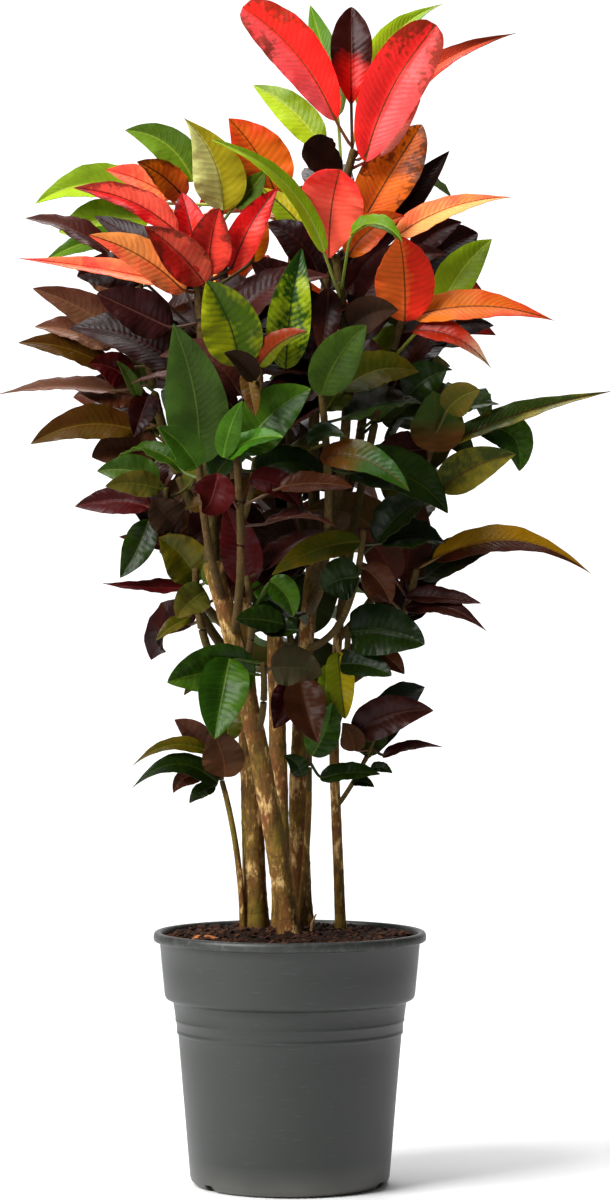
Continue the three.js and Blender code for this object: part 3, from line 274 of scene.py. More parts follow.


# Bark: olive brown with tan flakes. The wood attribute holds its age and painted shade together, its length along the
# cane and the turn round it.
def bark(name):
    material, wire = finish(name)
    ageAndShade, length, turn = wire.attribute("wood", "Vector").split()
    patches = wire.noise(wire.stretched((1, 1, 0.55)), 26, 2, 0.5)
    broad = wire.noise(wire.stretched((1, 1, 0.5)), 75, 4, 0.6)
    fine = wire.noise(wire.stretched((1, 1, 0.35)), 300, 5, 0.65)
    speck = wire.noise(wire.place(), 560, 2)
    rings = wire.sum("SINE", (length + broad * 14) * 0.3)
    lines = rings.above(0.88, 5) * broad
    stops = [(0.3, rgb(44, 28, 8)), (0.46, rgb(92, 66, 20)), (0.6, rgb(132, 98, 34)), (0.74, rgb(172, 134, 62))]
    wood = wire.make("ShaderNodeValToRGB", {"stops": stops}, {"Fac": broad * 0.5 + fine * 0.5})
    russet = wire.blend(fine, rgb(84, 42, 18), rgb(148, 88, 42))
    wood = wire.blend(patches.above(0.48, 7) * 0.8, wood, russet)
    moss = wire.blend(fine, rgb(88, 82, 12), rgb(140, 126, 30))
    wood = wire.blend(((0.43 - patches) * 9).held() * 0.6, wood, moss)
    flakes = (broad * 0.8 + fine * 0.6 + patches * 0.55).above(1.02, 9)
    wood = wire.blend(flakes * ageAndShade.held() * 0.9, wood, wire.blend(fine, rgb(170, 126, 66), rgb(232, 198, 132)))
    wood = wire.blend(lines * 0.45, wood, rgb(44, 30, 16))
    # where the wood is young the bark turns dark: partly real younger bark, partly painted shade up in the crown
    young = wire.blend(fine, rgb(34, 34, 9), rgb(74, 58, 19))
    colour = wire.blend(ageAndShade.held(), young, wood)
    colour = wire.blend(speck.above(0.6, 6) * 0.4, colour, rgb(36, 26, 16))
    height = broad * 0.8 + fine * 0.7 + flakes * 0.4 - lines * 0.6
    shade(wire, colour, 0.62 + fine * 0.3, 0.25, height, 0.8, 0.0016)
    return material


# Canes and shoots as in the solids, in millimetres. A cane's girth is its radius at its foot and at its top.
canes = {
    "back_left": {"points": [[-32, 28, 184], [-36, 30, 330], [-42, 36, 470], [-50, 45, 640]], "girth": [13.5, 8]},
    "front": {"points": [[9, -25, 184], [-12, -30, 330], [-30, -40, 470], [-78, -50, 620]], "girth": [11.2, 9.6]},
    "inner": {"points": [[-9, 12, 184], [-8, 12, 330], [-12, 16, 450], [-16, 24, 560]], "girth": [10, 8.4]},
    "back_right": {"points": [[16, 46, 184], [6, 47, 330], [4, 40, 450], [26, 35, 640]], "girth": [12.5, 7]},
    "middle": {"points": [[5, -6, 184], [9, -6, 270], [19, -5, 330], [19, -4, 392]], "girth": [4, 3]},
    "right": {"points": [[51, 36, 184], [53, 36, 330], [35, 32, 430], [50, 30, 560]], "girth": [5.6, 4.8]},
    "left": {"points": [[-46, 18, 184], [-45, 20, 270], [-50, 20, 330], [-66, 17, 392]], "girth": [3.7, 2.8]},
}

# Shoots: the cane and how far up it each springs, the bend and the tip of its stem, its girth there and at the tip, and
# from the tip down the length of stem of each colour, with its number of leaves set by rule
shoots = {
    "top": {
        "cane": "back_right", "at": 0.99, "bend": [14, 44, 850], "tip": [64, 10, 1030], "girth": [6.5, 4],
        "parts": {"red": (36, 0), "lime": (30, 2), "maroon": (90, 7)},
    },
    "crest_back": {
        "cane": "back_right", "at": 0.93, "bend": [-24, 82, 800], "tip": [12, 48, 998], "girth": [5.5, 3.5],
        "parts": {"orange": (60, 4)},
    },
    "crest_centre": {
        "cane": "back_right", "at": 0.9, "bend": [80, -50, 740], "tip": [40, -55, 945], "girth": [6, 4],
        "parts": {"red": (26, 0), "orange": (28, 0), "green": (28, 0), "maroon": (80, 8)},
    },
    "crest_left": {
        "cane": "front", "at": 0.99, "bend": [-78, -58, 770], "tip": [-92, -85, 915], "girth": [8, 4],
        "parts": {"red": (64, 0), "maroon": (70, 9)},
    },
    "crest_back_left": {
        "cane": "back_left", "at": 0.99, "bend": [-62, 54, 830], "tip": [-72, 42, 985], "girth": [7.5, 3.8],
        "parts": {"lime": (52, 2), "orange": (56, 4)},
    },
    "crest_right": {
        "cane": "right", "at": 0.99, "bend": [70, 12, 720], "tip": [112, -48, 862], "girth": [4.8, 3.6],
        "parts": {"orange": (40, 0), "lime": (30, 1), "maroon": (44, 3)},
    },
    "left": {
        "cane": "back_left", "at": 0.92, "bend": [-140, 36, 700], "tip": [-150, -5, 905], "girth": [6, 3.6],
        "parts": {"plum": (118, 4), "bronze": (90, 5)},
    },
    "left_front": {
        "cane": "front", "at": 0.9, "bend": [-84, -118, 640], "tip": [-88, -122, 728], "girth": [4.5, 3.4],
        "parts": {"green": (56, 4)},
    },
    "variegated": {
        "cane": "front", "at": 0.95, "bend": [-20, -95, 690], "tip": [-30, -108, 818], "girth": [4.5, 3.4],
        "parts": {"lime": (40, 0), "maroon": (60, 8)},
    },
    "centre_front": {
        "cane": "front", "at": 0.82, "bend": [-40, -125, 610], "tip": [-52, -132, 730], "girth": [4.5, 3.4],
        "parts": {"green": (56, 1), "maroon": (44, 4)},
    },
    "centre_right": {
        "cane": "back_right", "at": 0.84, "bend": [50, -90, 610], "tip": [30, -112, 788], "girth": [5, 3.4],
        "parts": {"green": (96, 6)},
    },
    "right": {
        "cane": "right", "at": 0.95, "bend": [124, -14, 610], "tip": [150, -35, 795], "girth": [4.5, 3.4],
        "parts": {"green": (50, 2), "bronze": (76, 6)},
    },
    "right_low": {
        "cane": "right", "at": 0.82, "bend": [104, 12, 510], "tip": [126, -20, 612], "girth": [4.5, 3.4],
        "parts": {"bronze": (26, 1), "maroon": (50, 4)},
    },
    "left_low": {
        "cane": "back_left", "at": 0.62, "bend": [-95, 14, 520], "tip": [-93, -25, 612], "girth": [5, 3.4],
        "parts": {"bronze": (36, 1), "maroon": (30, 3)},
    },
    "left_middle": {
        "cane": "back_left", "at": 0.78, "bend": [-124, 4, 590], "tip": [-122, -25, 692], "girth": [5, 3.4],
        "parts": {"bronze": (40, 2), "maroon": (40, 4)},
    },
    "centre_low": {
        "cane": "front", "at": 0.74, "bend": [-30, -88, 540], "tip": [-42, -78, 604], "girth": [4, 3.2],
        "parts": {"maroon": (28, 2), "green": (36, 2)},
    },
    "low_front": {
        "cane": "front", "at": 0.6, "bend": [-22, -64, 470], "tip": [-26, -64, 520], "girth": [3.8, 3],
        "parts": {"green": (40, 0)},
    },
    "centre_middle": {
        "cane": "back_right", "at": 0.76, "bend": [64, -34, 540], "tip": [72, -70, 650], "girth": [4, 3],
        "parts": {"green": (50, 5)},
    },
    "right_lower": {
        "cane": "right", "at": 0.7, "bend": [56, -2, 480], "tip": [58, -8, 556], "girth": [3.8, 3],
        "parts": {"green": (30, 0), "bronze": (36, 0)},
    },
    "low_right": {
        "cane": "right", "at": 0.5, "bend": [66, 22, 396], "tip": [86, 8, 446], "girth": [2.6, 2.2],
        "parts": {"plum": (24, 0), "green": (26, 1)},
    },
    "low_centre": {
        "cane": "middle", "at": 0.99, "bend": [20, -4, 450], "tip": [16, -8, 514], "girth": [3, 2.6],
        "parts": {"maroon": (40, 0), "green": (60, 1)},
    },
    "low_left": {
        "cane": "left", "at": 0.99, "bend": [-72, 14, 412], "tip": [-74, 6, 446], "girth": [2.8, 2.2],
        "parts": {"bronze": (26, 0), "green": (22, 0)},
    },
    "back_crown_left": {
        "cane": "back_left", "at": 0.95, "bend": [-76, 140, 730], "tip": [-70, 150, 890], "girth": [6, 3.6],
        "parts": {"orange": (46, 7), "maroon": (100, 10)},
    },
    "back_crown_right": {
        "cane": "back_right", "at": 0.96, "bend": [84, 130, 700], "tip": [78, 150, 880], "girth": [6, 3.6],
        "parts": {"red": (46, 8), "green": (100, 12)},
    },
    "back_middle": {
        "cane": "inner", "at": 0.99, "bend": [-4, 130, 620], "tip": [6, 165, 735], "girth": [5.5, 3.6],
        "parts": {"maroon": (110, 10)},
    },
    "back_left": {
        "cane": "back_left", "at": 0.7, "bend": [-122, 90, 590], "tip": [-138, 105, 705], "girth": [5.5, 3.6],
        "parts": {"plum": (110, 12)},
    },
    "back_right": {
        "cane": "right", "at": 0.9, "bend": [124, 84, 560], "tip": [138, 100, 695], "girth": [4.5, 3.4],
        "parts": {"bronze": (110, 12)},
    },
    "back_low": {
        "cane": "back_right", "at": 0.54, "bend": [24, 112, 470], "tip": [-6, 122, 560], "girth": [5, 3.4],
        "parts": {"green": (90, 8)},
    },
}

# Leaves listed for each node, as they look from the front: base and tip, each across and up, the tip's depth from
# the stem, width, arch, face, outline and look
handLeaves = {
    "top_red": [
        (45, 1057, -47, 1170, -5, 54, 12, 85, "blunt", "ruby"),
        (61, 1072, 61, 1170, 20, 44, 4, 90, "shoulder", "ember"),
        (75, 1016, 146, 1152, -25, 62, 10, 90, "blunt", "rubyTwo"),
        (90, 1062, 225, 1144, 24, 28, 14, 60, "tailed", "flame"),
        (88, 1022, 130, 1078, 15, 26, 3, 80, "lance", "blush"),
    ],
    "top_lime": [
        (48, 1062, 20, 1172, 30, 34, 4, 90, "lance", "fresh"),
        (70, 1070, 152, 1173, 20, 34, 22, 75, "tailed", "lime"),
        (32, 1030, -37, 1092, 0, 36, 8, 78, "lance", "lime"),
    ],
    "top_maroon": [
        (52, 1008, 14, 1034, -22, 44, 3, 80, "blunt", "maroon"),
    ],
    "crest_back_orange": [
        (-14, 982, -61, 1059, -12, 60, 6, 85, "lance", "orange"),
    ],
    "crest_centre_red": [
        (39, 920, 50, 1008, -44, 68, 10, 96, "heart", "heart"),
    ],
    "crest_centre_orange": [
        (60, 934, 131, 1053, 52, 60, 8, 86, "shoulder", "burnt"),
        (58, 922, 114, 962, -8, 36, 8, 72, "lance", "orange"),
    ],
    "crest_centre_green": [
        (60, 944, 112, 936, -34, 24, 14, 50, "lance", "fresh"),
        (36, 920, -28, 990, 2, 38, 4, 86, "lance", "streak"),
        (34, 926, -78, 1038, -25, 20, 20, 60, "strap", "lime"),
    ],
    "crest_centre_maroon": [
        (58, 915, 159, 1027, 32, 40, 6, 82, "lance", "maroon"),
        (55, 885, 105, 918, -5, 34, 6, 75, "broad", "plum"),
        (30, 900, -25, 955, 10, 42, 5, 85, "lance", "maroon"),
        (20, 880, -40, 922, 0, 40, 4, 82, "lance", "maroon"),
        (60, 872, 98, 896, 24, 46, 5, 78, "broad", "maroon"),
        (38, 890, 30, 825, -25, 30, -6, 90, "lance", "plum"),
        (30, 850, -8, 888, -10, 38, 5, 80, "lance", "maroon"),
        (60, 850, 108, 868, -15, 40, 6, 78, "lance", "maroon"),
        (52, 822, 98, 800, -22, 40, 8, 72, "broad", "maroon"),
    ],
    "crest_left_red": [
        (-112, 945, -215, 990, -5, 34, 10, 58, "lance", "scarlet"),
        (-85, 895, -145, 952, -45, 42, 4, 86, "lance", "scarlet"),
        (-108, 893, -269, 920, -18, 28, 3, 52, "tailed", "coral"),
        (-80, 903, -70, 970, -30, 44, 5, 95, "broad", "garnet"),
        (-92, 912, -108, 985, 12, 36, 4, 86, "broad", "garnet"),
        (-58, 908, -12, 990, -14, 34, 5, 86, "lance", "garnet"),
        (-105, 886, -200, 943, -36, 40, 8, 72, "lance", "peach"),
        (-36, 916, -24, 962, 5, 26, 4, 86, "broad", "gold"),
    ],
    "crest_left_maroon": [
        (-108, 900, -195, 962, 18, 34, 6, 80, "lance", "maroon"),
        (-118, 850, -192, 885, -28, 50, 6, 82, "broad", "mauve"),
        (-146, 898, -212, 902, 4, 42, 6, 76, "broad", "maroon"),
    ],
    "crest_back_left_lime": [
        (-96, 996, -164, 1047, 10, 40, 14, 76, "lance", "fresh"),
        (-66, 968, -106, 1060, -22, 58, 5, 92, "tailed", "cream"),
        (-128, 974, -253, 974, 5, 44, 20, 66, "lance", "lime"),
        (-140, 958, -230, 946, 22, 46, 6, 78, "broad", "lime"),
        (-150, 945, -243, 918, 8, 26, 6, 60, "lance", "fresh"),
        (-55, 972, -24, 1008, -8, 28, 4, 82, "lance", "fresh"),
    ],
    "crest_back_left_orange": [
        (-105, 980, -152, 1016, -12, 34, 4, 78, "lance", "burnt"),
        (-118, 980, -183, 1008, -18, 34, 4, 70, "lance", "coral"),
    ],
    "crest_right_orange": [
        (114, 857, 108, 942, -46, 60, 8, 93, "broad", "rust"),
        (104, 940, 220, 981, -12, 30, 10, 62, "tailed", "peach"),
        (122, 862, 263, 858, -32, 38, 12, 58, "tailed", "orange"),
        (122, 848, 200, 811, -36, 30, 12, 54, "tailed", "curl"),
    ],
    "crest_right_lime": [
        (150, 872, 201, 939, 28, 42, 6, 85, "lance", "lime"),
    ],
    "crest_right_maroon": [
        (120, 897, 187, 945, 26, 58, 6, 72, "broad", "maroon"),
        (122, 925, 171, 956, 40, 30, 5, 78, "lance", "maroon"),
        (135, 838, 203, 853, 20, 36, 8, 62, "lance", "maroon"),
    ],
    "left_plum": [
        (-180, 925, -263, 960, 10, 30, 8, 50, "lance", "plum"),
        (-168, 885, -218, 915, -12, 34, 5, 75, "lance", "russet"),
        (-165, 838, -256, 890, -18, 40, 6, 68, "lance", "russet"),
        (-178, 830, -254, 852, -5, 36, 6, 52, "lance", "russet"),
        (-178, 809, -270, 836, -22, 32, 8, 52, "lance", "bronze"),
        (-172, 787, -290, 785, 2, 28, 6, 40, "tailed", "tan"),
    ],
    "left_bronze": [
        (-146, 795, -166, 859, -48, 22, 4, 86, "lance", "sage"),
        (-150, 780, -172, 818, -38, 14, 3, 80, "lance", "sage"),
        (-160, 798, -200, 815, -28, 36, 5, 80, "lance", "wine"),
        (-152, 748, -258, 735, -32, 40, 13, 62, "lance", "bronze"),
        (-140, 785, -155, 742, -38, 30, -5, 88, "lance", "maroon"),
        (-132, 724, -197, 722, -22, 50, 6, 80, "broad", "umber"),
        (-150, 782, -208, 786, 6, 40, 5, 76, "broad", "umber"),
    ],
    "left_front_green": [
        (-90, 716, -116, 855, -28, 62, 8, 92, "lance", "mist"),
        (-92, 712, -132, 752, -48, 34, 5, 76, "lance", "young"),
    ],
    "variegated_lime": [
        (-50, 812, -83, 897, -22, 60, 6, 88, "broad", "ribbed"),
        (-4, 810, 12, 930, -12, 46, 4, 90, "lance", "mottle"),
        (-31, 813, 17, 847, -42, 28, 6, 66, "lance", "ginger"),
    ],
    "variegated_maroon": [
        (-34, 800, -66, 826, -36, 24, 4, 80, "lance", "maroon"),
        (-42, 810, -34, 764, -42, 20, -3, 90, "strap", "bronze"),
    ],
    "centre_front_green": [
        (-48, 726, 21, 790, -15, 54, 8, 80, "broad", "leaf"),
        (-62, 722, -7, 742, -38, 22, 8, 55, "strap", "young"),
        (-66, 722, -47, 778, -45, 24, 4, 86, "lance", "young"),
    ],
    "centre_front_maroon": [
        (-72, 706, -88, 668, -30, 40, -4, 90, "lance", "wine"),
        (-40, 700, 10, 672, -20, 30, 8, 70, "lance", "wine"),
        (-10, 692, 62, 692, 0, 24, 4, 60, "strap", "umber"),
    ],
    "centre_right_green": [
        (32, 784, 76, 853, -15, 48, 6, 88, "broad", "leaf"),
        (36, 768, 70, 805, 10, 32, 5, 80, "lance", "olive"),
        (18, 735, 55, 742, -30, 22, 8, 58, "lance", "dark"),
        (30, 722, 119, 688, -42, 34, 14, 72, "lance", "bronzeGreen"),
    ],
    "right_green": [
        (118, 782, 156, 808, -12, 42, 5, 80, "broad", "dark"),
        (168, 768, 208, 775, -5, 16, 3, 50, "lance", "dark"),
        (155, 735, 320, 788, -10, 28, 6, 52, "tailed", "patchy"),
        (186, 750, 228, 708, 12, 40, 20, 76, "broad", "leaf"),
    ],
    "right_bronze": [
        (156, 768, 189, 788, -24, 34, 4, 82, "broad", "olive"),
        (147, 727, 143, 788, -38, 56, 5, 93, "broad", "bronzeGreen"),
        (150, 690, 225, 725, -28, 44, 6, 80, "lance", "patchy"),
        (135, 730, 82, 727, -35, 40, 5, 70, "lance", "plum"),
    ],
    "right_low_bronze": [
        (142, 620, 300, 606, -20, 34, 27, 58, "tailed", "gilt"),
        (132, 600, 218, 638, -2, 34, 8, 58, "lance", "dusk"),
    ],
    "right_low_maroon": [
        (115, 598, 123, 697, -42, 46, 4, 92, "lance", "wine"),
        (104, 600, 66, 652, -32, 38, 5, 82, "lance", "wine"),
        (115, 584, 190, 577, -14, 24, 8, 48, "lance", "plum"),
        (115, 572, 196, 549, -26, 26, 12, 50, "tailed", "plum"),
        (98, 582, 72, 618, -20, 30, 4, 80, "lance", "umber"),
    ],
    "left_low_bronze": [
        (-92, 598, -130, 642, -30, 48, 5, 88, "broad", "olive"),
        (-84, 596, -46, 640, -52, 24, 4, 80, "lance", "sage"),
        (-84, 588, -112, 562, -30, 36, 3, 85, "broad", "olive"),
        (-98, 562, -133, 540, -15, 18, 3, 55, "lance", "olive"),
    ],
    "left_low_maroon": [
        (-100, 592, -186, 597, -18, 24, 4, 32, "tailed", "wine"),
    ],
    "left_middle_bronze": [
        (-128, 690, -184, 693, -18, 28, 4, 75, "lance", "olive"),
        (-130, 700, -192, 708, 5, 34, 5, 80, "lance", "sage"),
        (-140, 660, -169, 602, -5, 34, -3, 85, "lance", "dark"),
    ],
    "left_middle_maroon": [
        (-138, 673, -214, 673, -15, 32, 5, 66, "lance", "wine"),
        (-112, 655, -135, 682, -12, 40, 4, 85, "broad", "maroon"),
        (-118, 630, -170, 643, -8, 16, 3, 50, "lance", "plum"),
    ],
    "centre_low_maroon": [
        (-44, 594, -65, 676, -35, 42, 4, 90, "lance", "wine"),
    ],
    "centre_low_green": [
        (-20, 600, 3, 563, -20, 30, 6, 80, "lance", "leaf"),
        (-30, 558, 10, 550, -10, 28, 4, 60, "lance", "dark"),
        (-6, 556, -54, 561, -14, 30, 8, 62, "broad", "dark"),
    ],
    "low_front_green": [
        (-34, 506, -122, 498, -42, 56, 6, 82, "broad", "leaf"),
        (-60, 522, -75, 442, -32, 52, -4, 92, "broad", "leaf"),
        (-18, 512, 32, 505, -15, 44, 4, 84, "broad", "dusk"),
    ],
    "centre_middle_green": [
        (70, 638, -18, 605, -18, 30, 8, 72, "lance", "olive"),
        (74, 612, 100, 576, 5, 32, 4, 84, "lance", "umber"),
        (68, 602, 32, 590, 20, 44, 4, 84, "broad", "dark"),
    ],
    "right_lower_green": [
        (60, 548, 134, 536, -32, 56, 6, 82, "strap", "dark"),
        (50, 516, 101, 505, -36, 30, 5, 64, "strap", "dark"),
    ],
    "right_lower_bronze": [
        (84, 530, 114, 506, -8, 22, 3, 75, "lance", "umber"),
        (48, 528, 55, 462, -14, 30, -3, 86, "strap", "sulphur"),
        (38, 516, 30, 452, -22, 18, -2, 90, "strap", "lime"),
    ],
    "low_right_plum": [
        (64, 446, 143, 470, -14, 44, 8, 76, "lance", "plum"),
        (64, 430, 52, 458, -18, 28, 3, 85, "lance", "umber"),
        (92, 424, 152, 434, -2, 16, 6, 38, "tailed", "plum"),
    ],
    "low_right_green": [
        (82, 425, 88, 470, -32, 38, 3, 90, "broad", "leaf"),
        (80, 412, 102, 408, -10, 14, 3, 50, "lance", "dark"),
        (62, 398, 84, 394, -6, 14, 3, 50, "lance", "dark"),
    ],
    "low_centre_maroon": [
        (10, 504, 28, 438, -36, 44, -5, 92, "lance", "umber"),
        (2, 500, -16, 452, -10, 34, -3, 90, "lance", "wine"),
    ],
    "low_centre_green": [
        (30, 402, 90, 407, 14, 24, 4, 50, "lance", "dark"),
        (12, 404, -6, 425, 6, 20, 4, 60, "lance", "dark"),
        (22, 425, 42, 478, -6, 34, 3, 88, "broad", "leaf"),
    ],
    "low_left_bronze": [
        (-64, 404, -78, 450, -26, 44, 4, 92, "broad", "umber"),
        (-82, 432, -115, 461, -5, 28, 3, 80, "lance", "plum"),
        (-80, 428, -156, 416, -12, 18, 14, 58, "tailed", "olive"),
        (-62, 440, -60, 482, 8, 30, 3, 88, "lance", "olive"),
        (-86, 404, -116, 388, -5, 20, 8, 70, "lance", "umber"),
    ],
    "low_left_green": [
        (-72, 398, -157, 393, -14, 26, 28, 60, "tailed", "dark"),
        (-74, 394, -100, 378, -8, 18, 4, 60, "lance", "dark"),
    ],
    "back_middle_maroon": [
        (10, 700, 78, 706, -6, 54, 8, 78, "broad", "maroon"),
        (6, 668, 56, 622, -10, 52, 5, 82, "broad", "wine"),
        (4, 655, -34, 612, -10, 50, 5, 84, "broad", "maroon"),
        (8, 708, -10, 762, -20, 46, 5, 88, "broad", "maroon"),
    ],
    "back_right_bronze": [
        (128, 668, 84, 716, -6, 54, 6, 82, "broad", "olive"),
    ],
    "back_low_green": [
        (4, 548, 50, 604, -6, 56, 6, 84, "broad", "dark"),
        (-8, 545, -36, 608, -6, 50, 5, 86, "broad", "dark"),
        (6, 520, 54, 500, -10, 50, 6, 80, "broad", "dark"),
        (10, 505, 34, 440, -12, 44, -4, 88, "lance", "leaf"),
        (2, 552, 12, 612, -24, 46, 5, 88, "broad", "dark"),
    ],
}


# Paths, the same as the solids follow: a fine row of points with the length up to each
def unit(rows):
    rows = np.asarray(rows, float)
    return rows / np.linalg.norm(rows, axis=-1, keepdims=True)


def across(rows, along):
    rows = np.asarray(rows, float)
    return unit(rows - along * np.sum(rows * along, axis=-1, keepdims=True))


def bend(points, t):
    a, b, c = [np.asarray(point, float) for point in points]
    t = np.asarray(t, float)[..., None]
    return (1 - t) ** 2 * a + 2 * (1 - t) * t * b + t ** 2 * c


def doubleBend(points, t):
    a, b, c, d = [np.asarray(point, float) for point in points]
    t = np.asarray(t, float)[..., None]
    return (1 - t) ** 3 * a + 3 * (1 - t) ** 2 * t * b + 3 * (1 - t) * t ** 2 * c + t ** 3 * d


class Route:
    def __init__(self, curve, points):
        self.points = curve(points, np.linspace(0, 1, 61))
        steps = np.linalg.norm(np.diff(self.points, axis=0), axis=1)
        self.lengths = np.concatenate([[0], np.cumsum(steps)])
        self.length = self.lengths[-1]

    def at(self, length):
        return np.stack([np.interp(length, self.lengths, self.points[:, axis]) for axis in range(3)], axis=-1)


# How the leaves grow: the same draws as the solids, so that every finished leaf lies along its solid one. The outlines
# say how a blade widens and narrows, and touch is how near its solid's corners are, in metres.
growth = {
    "seed": 20417, "rootMargin": 6, "topMargin": 2, "partGap": 0.3, "rootGap": 5, "rootSearch": 60, "stemStep": 66,
    "depths": (0, -10, 10, -20, 20, -30, 30, -42, 42, -56, 56, -70, 70, -85, 85), "arches": (0, 6, -6),
    "drops": (0, -9, -18), "baseShift": 0.45, "smallBlade": 64, "viewDistance": 3620, "viewCentre": (15, 580),
    "stations": {"large": (0.2, 0.45, 0.74), "small": (0.26, 0.66)}, "midrib": 1.8, "midribTaper": 0.45,
    "outlines": {"broad": (0.52, 0.8), "lance": (0.55, 0.95), "strap": (0.38, 0.7), "tailed": (0.6, 1.35),
                 "blunt": (0.6, 0.42), "shoulder": (0.95, 0.8), "heart": (0.78, 0.42)},
    "twist": (-14, 14), "foldMean": 16, "foldSpread": (-5, 8), "wave": (0.04, 0.12), "waves": 13,
    "length": (92, 138), "width": (40, 56), "rise": (2, 42), "droop": (8, 22), "face": (10, 65), "petiole": 22,
    "firstTurn": 20, "goldenTurn": 137.5, "attempts": 16, "turnStep": 67, "fallStep": 12, "longAttempts": 8,
    "shortBlade": 0.74, "touch": 2e-5, "leastHeld": 0.5,
}
drawState = growth["seed"]


def draw(low, high):
    global drawState
    drawState = drawState * 16807 % 2147483647
    return low + (high - low) * (drawState / 2147483647)


def drawForm():
    twist, spread, wave = [draw(*growth[key]) for key in ("twist", "foldSpread", "wave")]
    return {"twist": twist, "fold": growth["foldMean"] + spread, "wave": wave}


# Along a blade: its centre line, its frame, and half its width
def bladeLine(leaf, share):
    chord = unit(leaf["tip"] - leaf["base"])
    control = (leaf["base"] + leaf["tip"]) / 2 + 2 * leaf["arch"] * across([0, -0.2, 1], chord)
    share = np.asarray(share, float)
    s = share[:, None]
    centre = bend((leaf["base"], control, leaf["tip"]), share)
    along = unit((1 - s) * (control - leaf["base"]) + s * (leaf["tip"] - control))
    turn = np.radians(leaf["face"] + leaf["twist"] * share)
    normal = across(np.stack([0 * turn, -np.sin(turn), np.cos(turn)], axis=1), along)
    rise, fall = growth["outlines"][leaf["outline"]]
    peak = rise / (rise + fall)
    half = leaf["width"] / 2 * (share / peak) ** rise * ((1 - share) / (1 - peak)) ** fall
    return centre, along, normal, np.cross(along, normal), half


# The corners that a leaf's solid has at its stations
def corners(leaf):
    share = np.array(growth["stations"][leaf["size"]])
    centre, along, normal, side, half = bladeLine(leaf, share)
    lean = math.radians(leaf["fold"])
    lift = (leaf["wave"] * half * np.sin(growth["waves"] * share + leaf["face"]))[:, None]
    out = (half * math.cos(lean))[:, None] * side
    up = (half * math.sin(lean))[:, None]
    thick = (growth["midrib"] * (1 - growth["midribTaper"] * share) / 2)[:, None] * normal
    return np.concatenate([centre - out + normal * (up + lift), centre + out + normal * (up - lift), centre + thick,
                           centre - thick])


# Along a stem: the nearest free place for a root, the point there, and the length nearest to a point of the photograph
def freeRoot(roots, low, high, wanted, gap):
    for step in range(growth["rootSearch"]):
        for length in (wanted - step, wanted + step):
            if low <= length <= high and all(abs(root - length) >= gap for root in roots):
                return length
    return wanted


def onSteps(route, part, length):
    steps = max(1, math.floor(part["length"] / growth["stemStep"] + 0.5))
    share = (length - part["from"]) / (part["to"] - part["from"]) * steps
    i = min(math.floor(share), steps - 1)
    near, far = [route.at(part["from"] + (part["to"] - part["from"]) * at / steps) for at in (i, i + 1)]
    return near + (far - near) * (share - i)


def nearestLength(route, low, high, x, z):
    lengths = np.linspace(low, high, 25)
    gaps = route.at(lengths) - (x, 0, z)
    measure = gaps[:, 0] ** 2 + gaps[:, 2] ** 2
    return lengths[np.argmax(measure <= measure.min() + 1e-6)]


# Of the places a leaf may take, the one that its solid has
def settled(part, tries):
    def held(point):
        return part["tree"].find(point * mm)[2] < growth["touch"]

    best, most = None, growth["leastHeld"]
    for leaf in tries:
        if held(leaf["tip"]):
            share = np.mean([held(corner) for corner in corners(leaf)])
            if share > most:
                best, most = leaf, share
    return best


# Listed leaves are given as they look from the front, where nearer ones look larger round the eye's line
def seenAt(x, depth, z):
    acrossView, heightView = growth["viewCentre"]
    share = 1 + depth / growth["viewDistance"]
    return np.array([acrossView + (x - acrossView) * share, depth, heightView + (z - heightView) * share])


def handTries(route, part, low, high, gap, row):
    baseX, baseZ, tipX, tipZ, depth, width, arch, face, outline, look = row
    form = drawForm()
    nearest = nearestLength(route, low, high, baseX, baseZ)
    length = math.hypot(tipX - baseX, tipZ - baseZ)
    size = "small" if length < growth["smallBlade"] else "large"
    for drop in growth["drops"]:
        rootLength = freeRoot(part["roots"], low, high, max(low, nearest + drop), gap)
        root = onSteps(route, part, rootLength)
        petiole = math.hypot(baseX - root[0], baseZ - root[2])
        share = petiole / (petiole + length)
        for shift in growth["depths"]:
            tip = seenAt(tipX, root[1] + depth + shift, tipZ)
            base = seenAt(baseX, root[1] + depth * share + shift * max(share, growth["baseShift"]), baseZ)
            for bow in growth["arches"]:
                yield {"root": root, "base": base, "tip": tip, "size": size, "rootLength": rootLength, "width": width,
                       "arch": arch + bow, "face": face, "outline": outline, "look": look, **form}


# Leaves set by rule turn on round the stem. The places tried after the first lie further round, lower and nearer.
def ruleTries(behind, route, part, low, high, gap, i):
    form = drawForm()
    length, width, rise, arch, face = [draw(*growth[key]) for key in ("length", "width", "rise", "droop", "face")]
    wanted = low + (high - low) * (i + 0.5) / part["rule"]
    rootLength = freeRoot(part["roots"], low, high, wanted, gap)
    root = onSteps(route, part, rootLength)
    looks = ruleLooks[part["colour"]]
    for attempt in range(growth["attempts"]):
        turn = math.radians(turnNow + attempt * growth["turnStep"])
        climb = math.radians(rise - growth["fallStep"] * (attempt % 3))
        heading = np.array([math.cos(turn) * math.cos(climb), math.sin(turn) * math.cos(climb), math.sin(climb)])
        base = root + heading * growth["petiole"]
        size = 1 if attempt < growth["longAttempts"] else growth["shortBlade"]
        tip = base + heading * length * size - (0, 0, 0.5 * arch)
        yield {"root": root, "base": base, "tip": tip, "size": "small", "rootLength": rootLength, "width": width,
               "arch": arch, "face": -face if behind else face, "outline": "lance", "look": looks[i % len(looks)],
               **form}


def solidTree(node):
    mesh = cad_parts[node].data
    tree = kdtree.KDTree(len(mesh.vertices))
    for i, vertex in enumerate(mesh.vertices):
        tree.insert(vertex.co, i)
    tree.balance()
    return tree


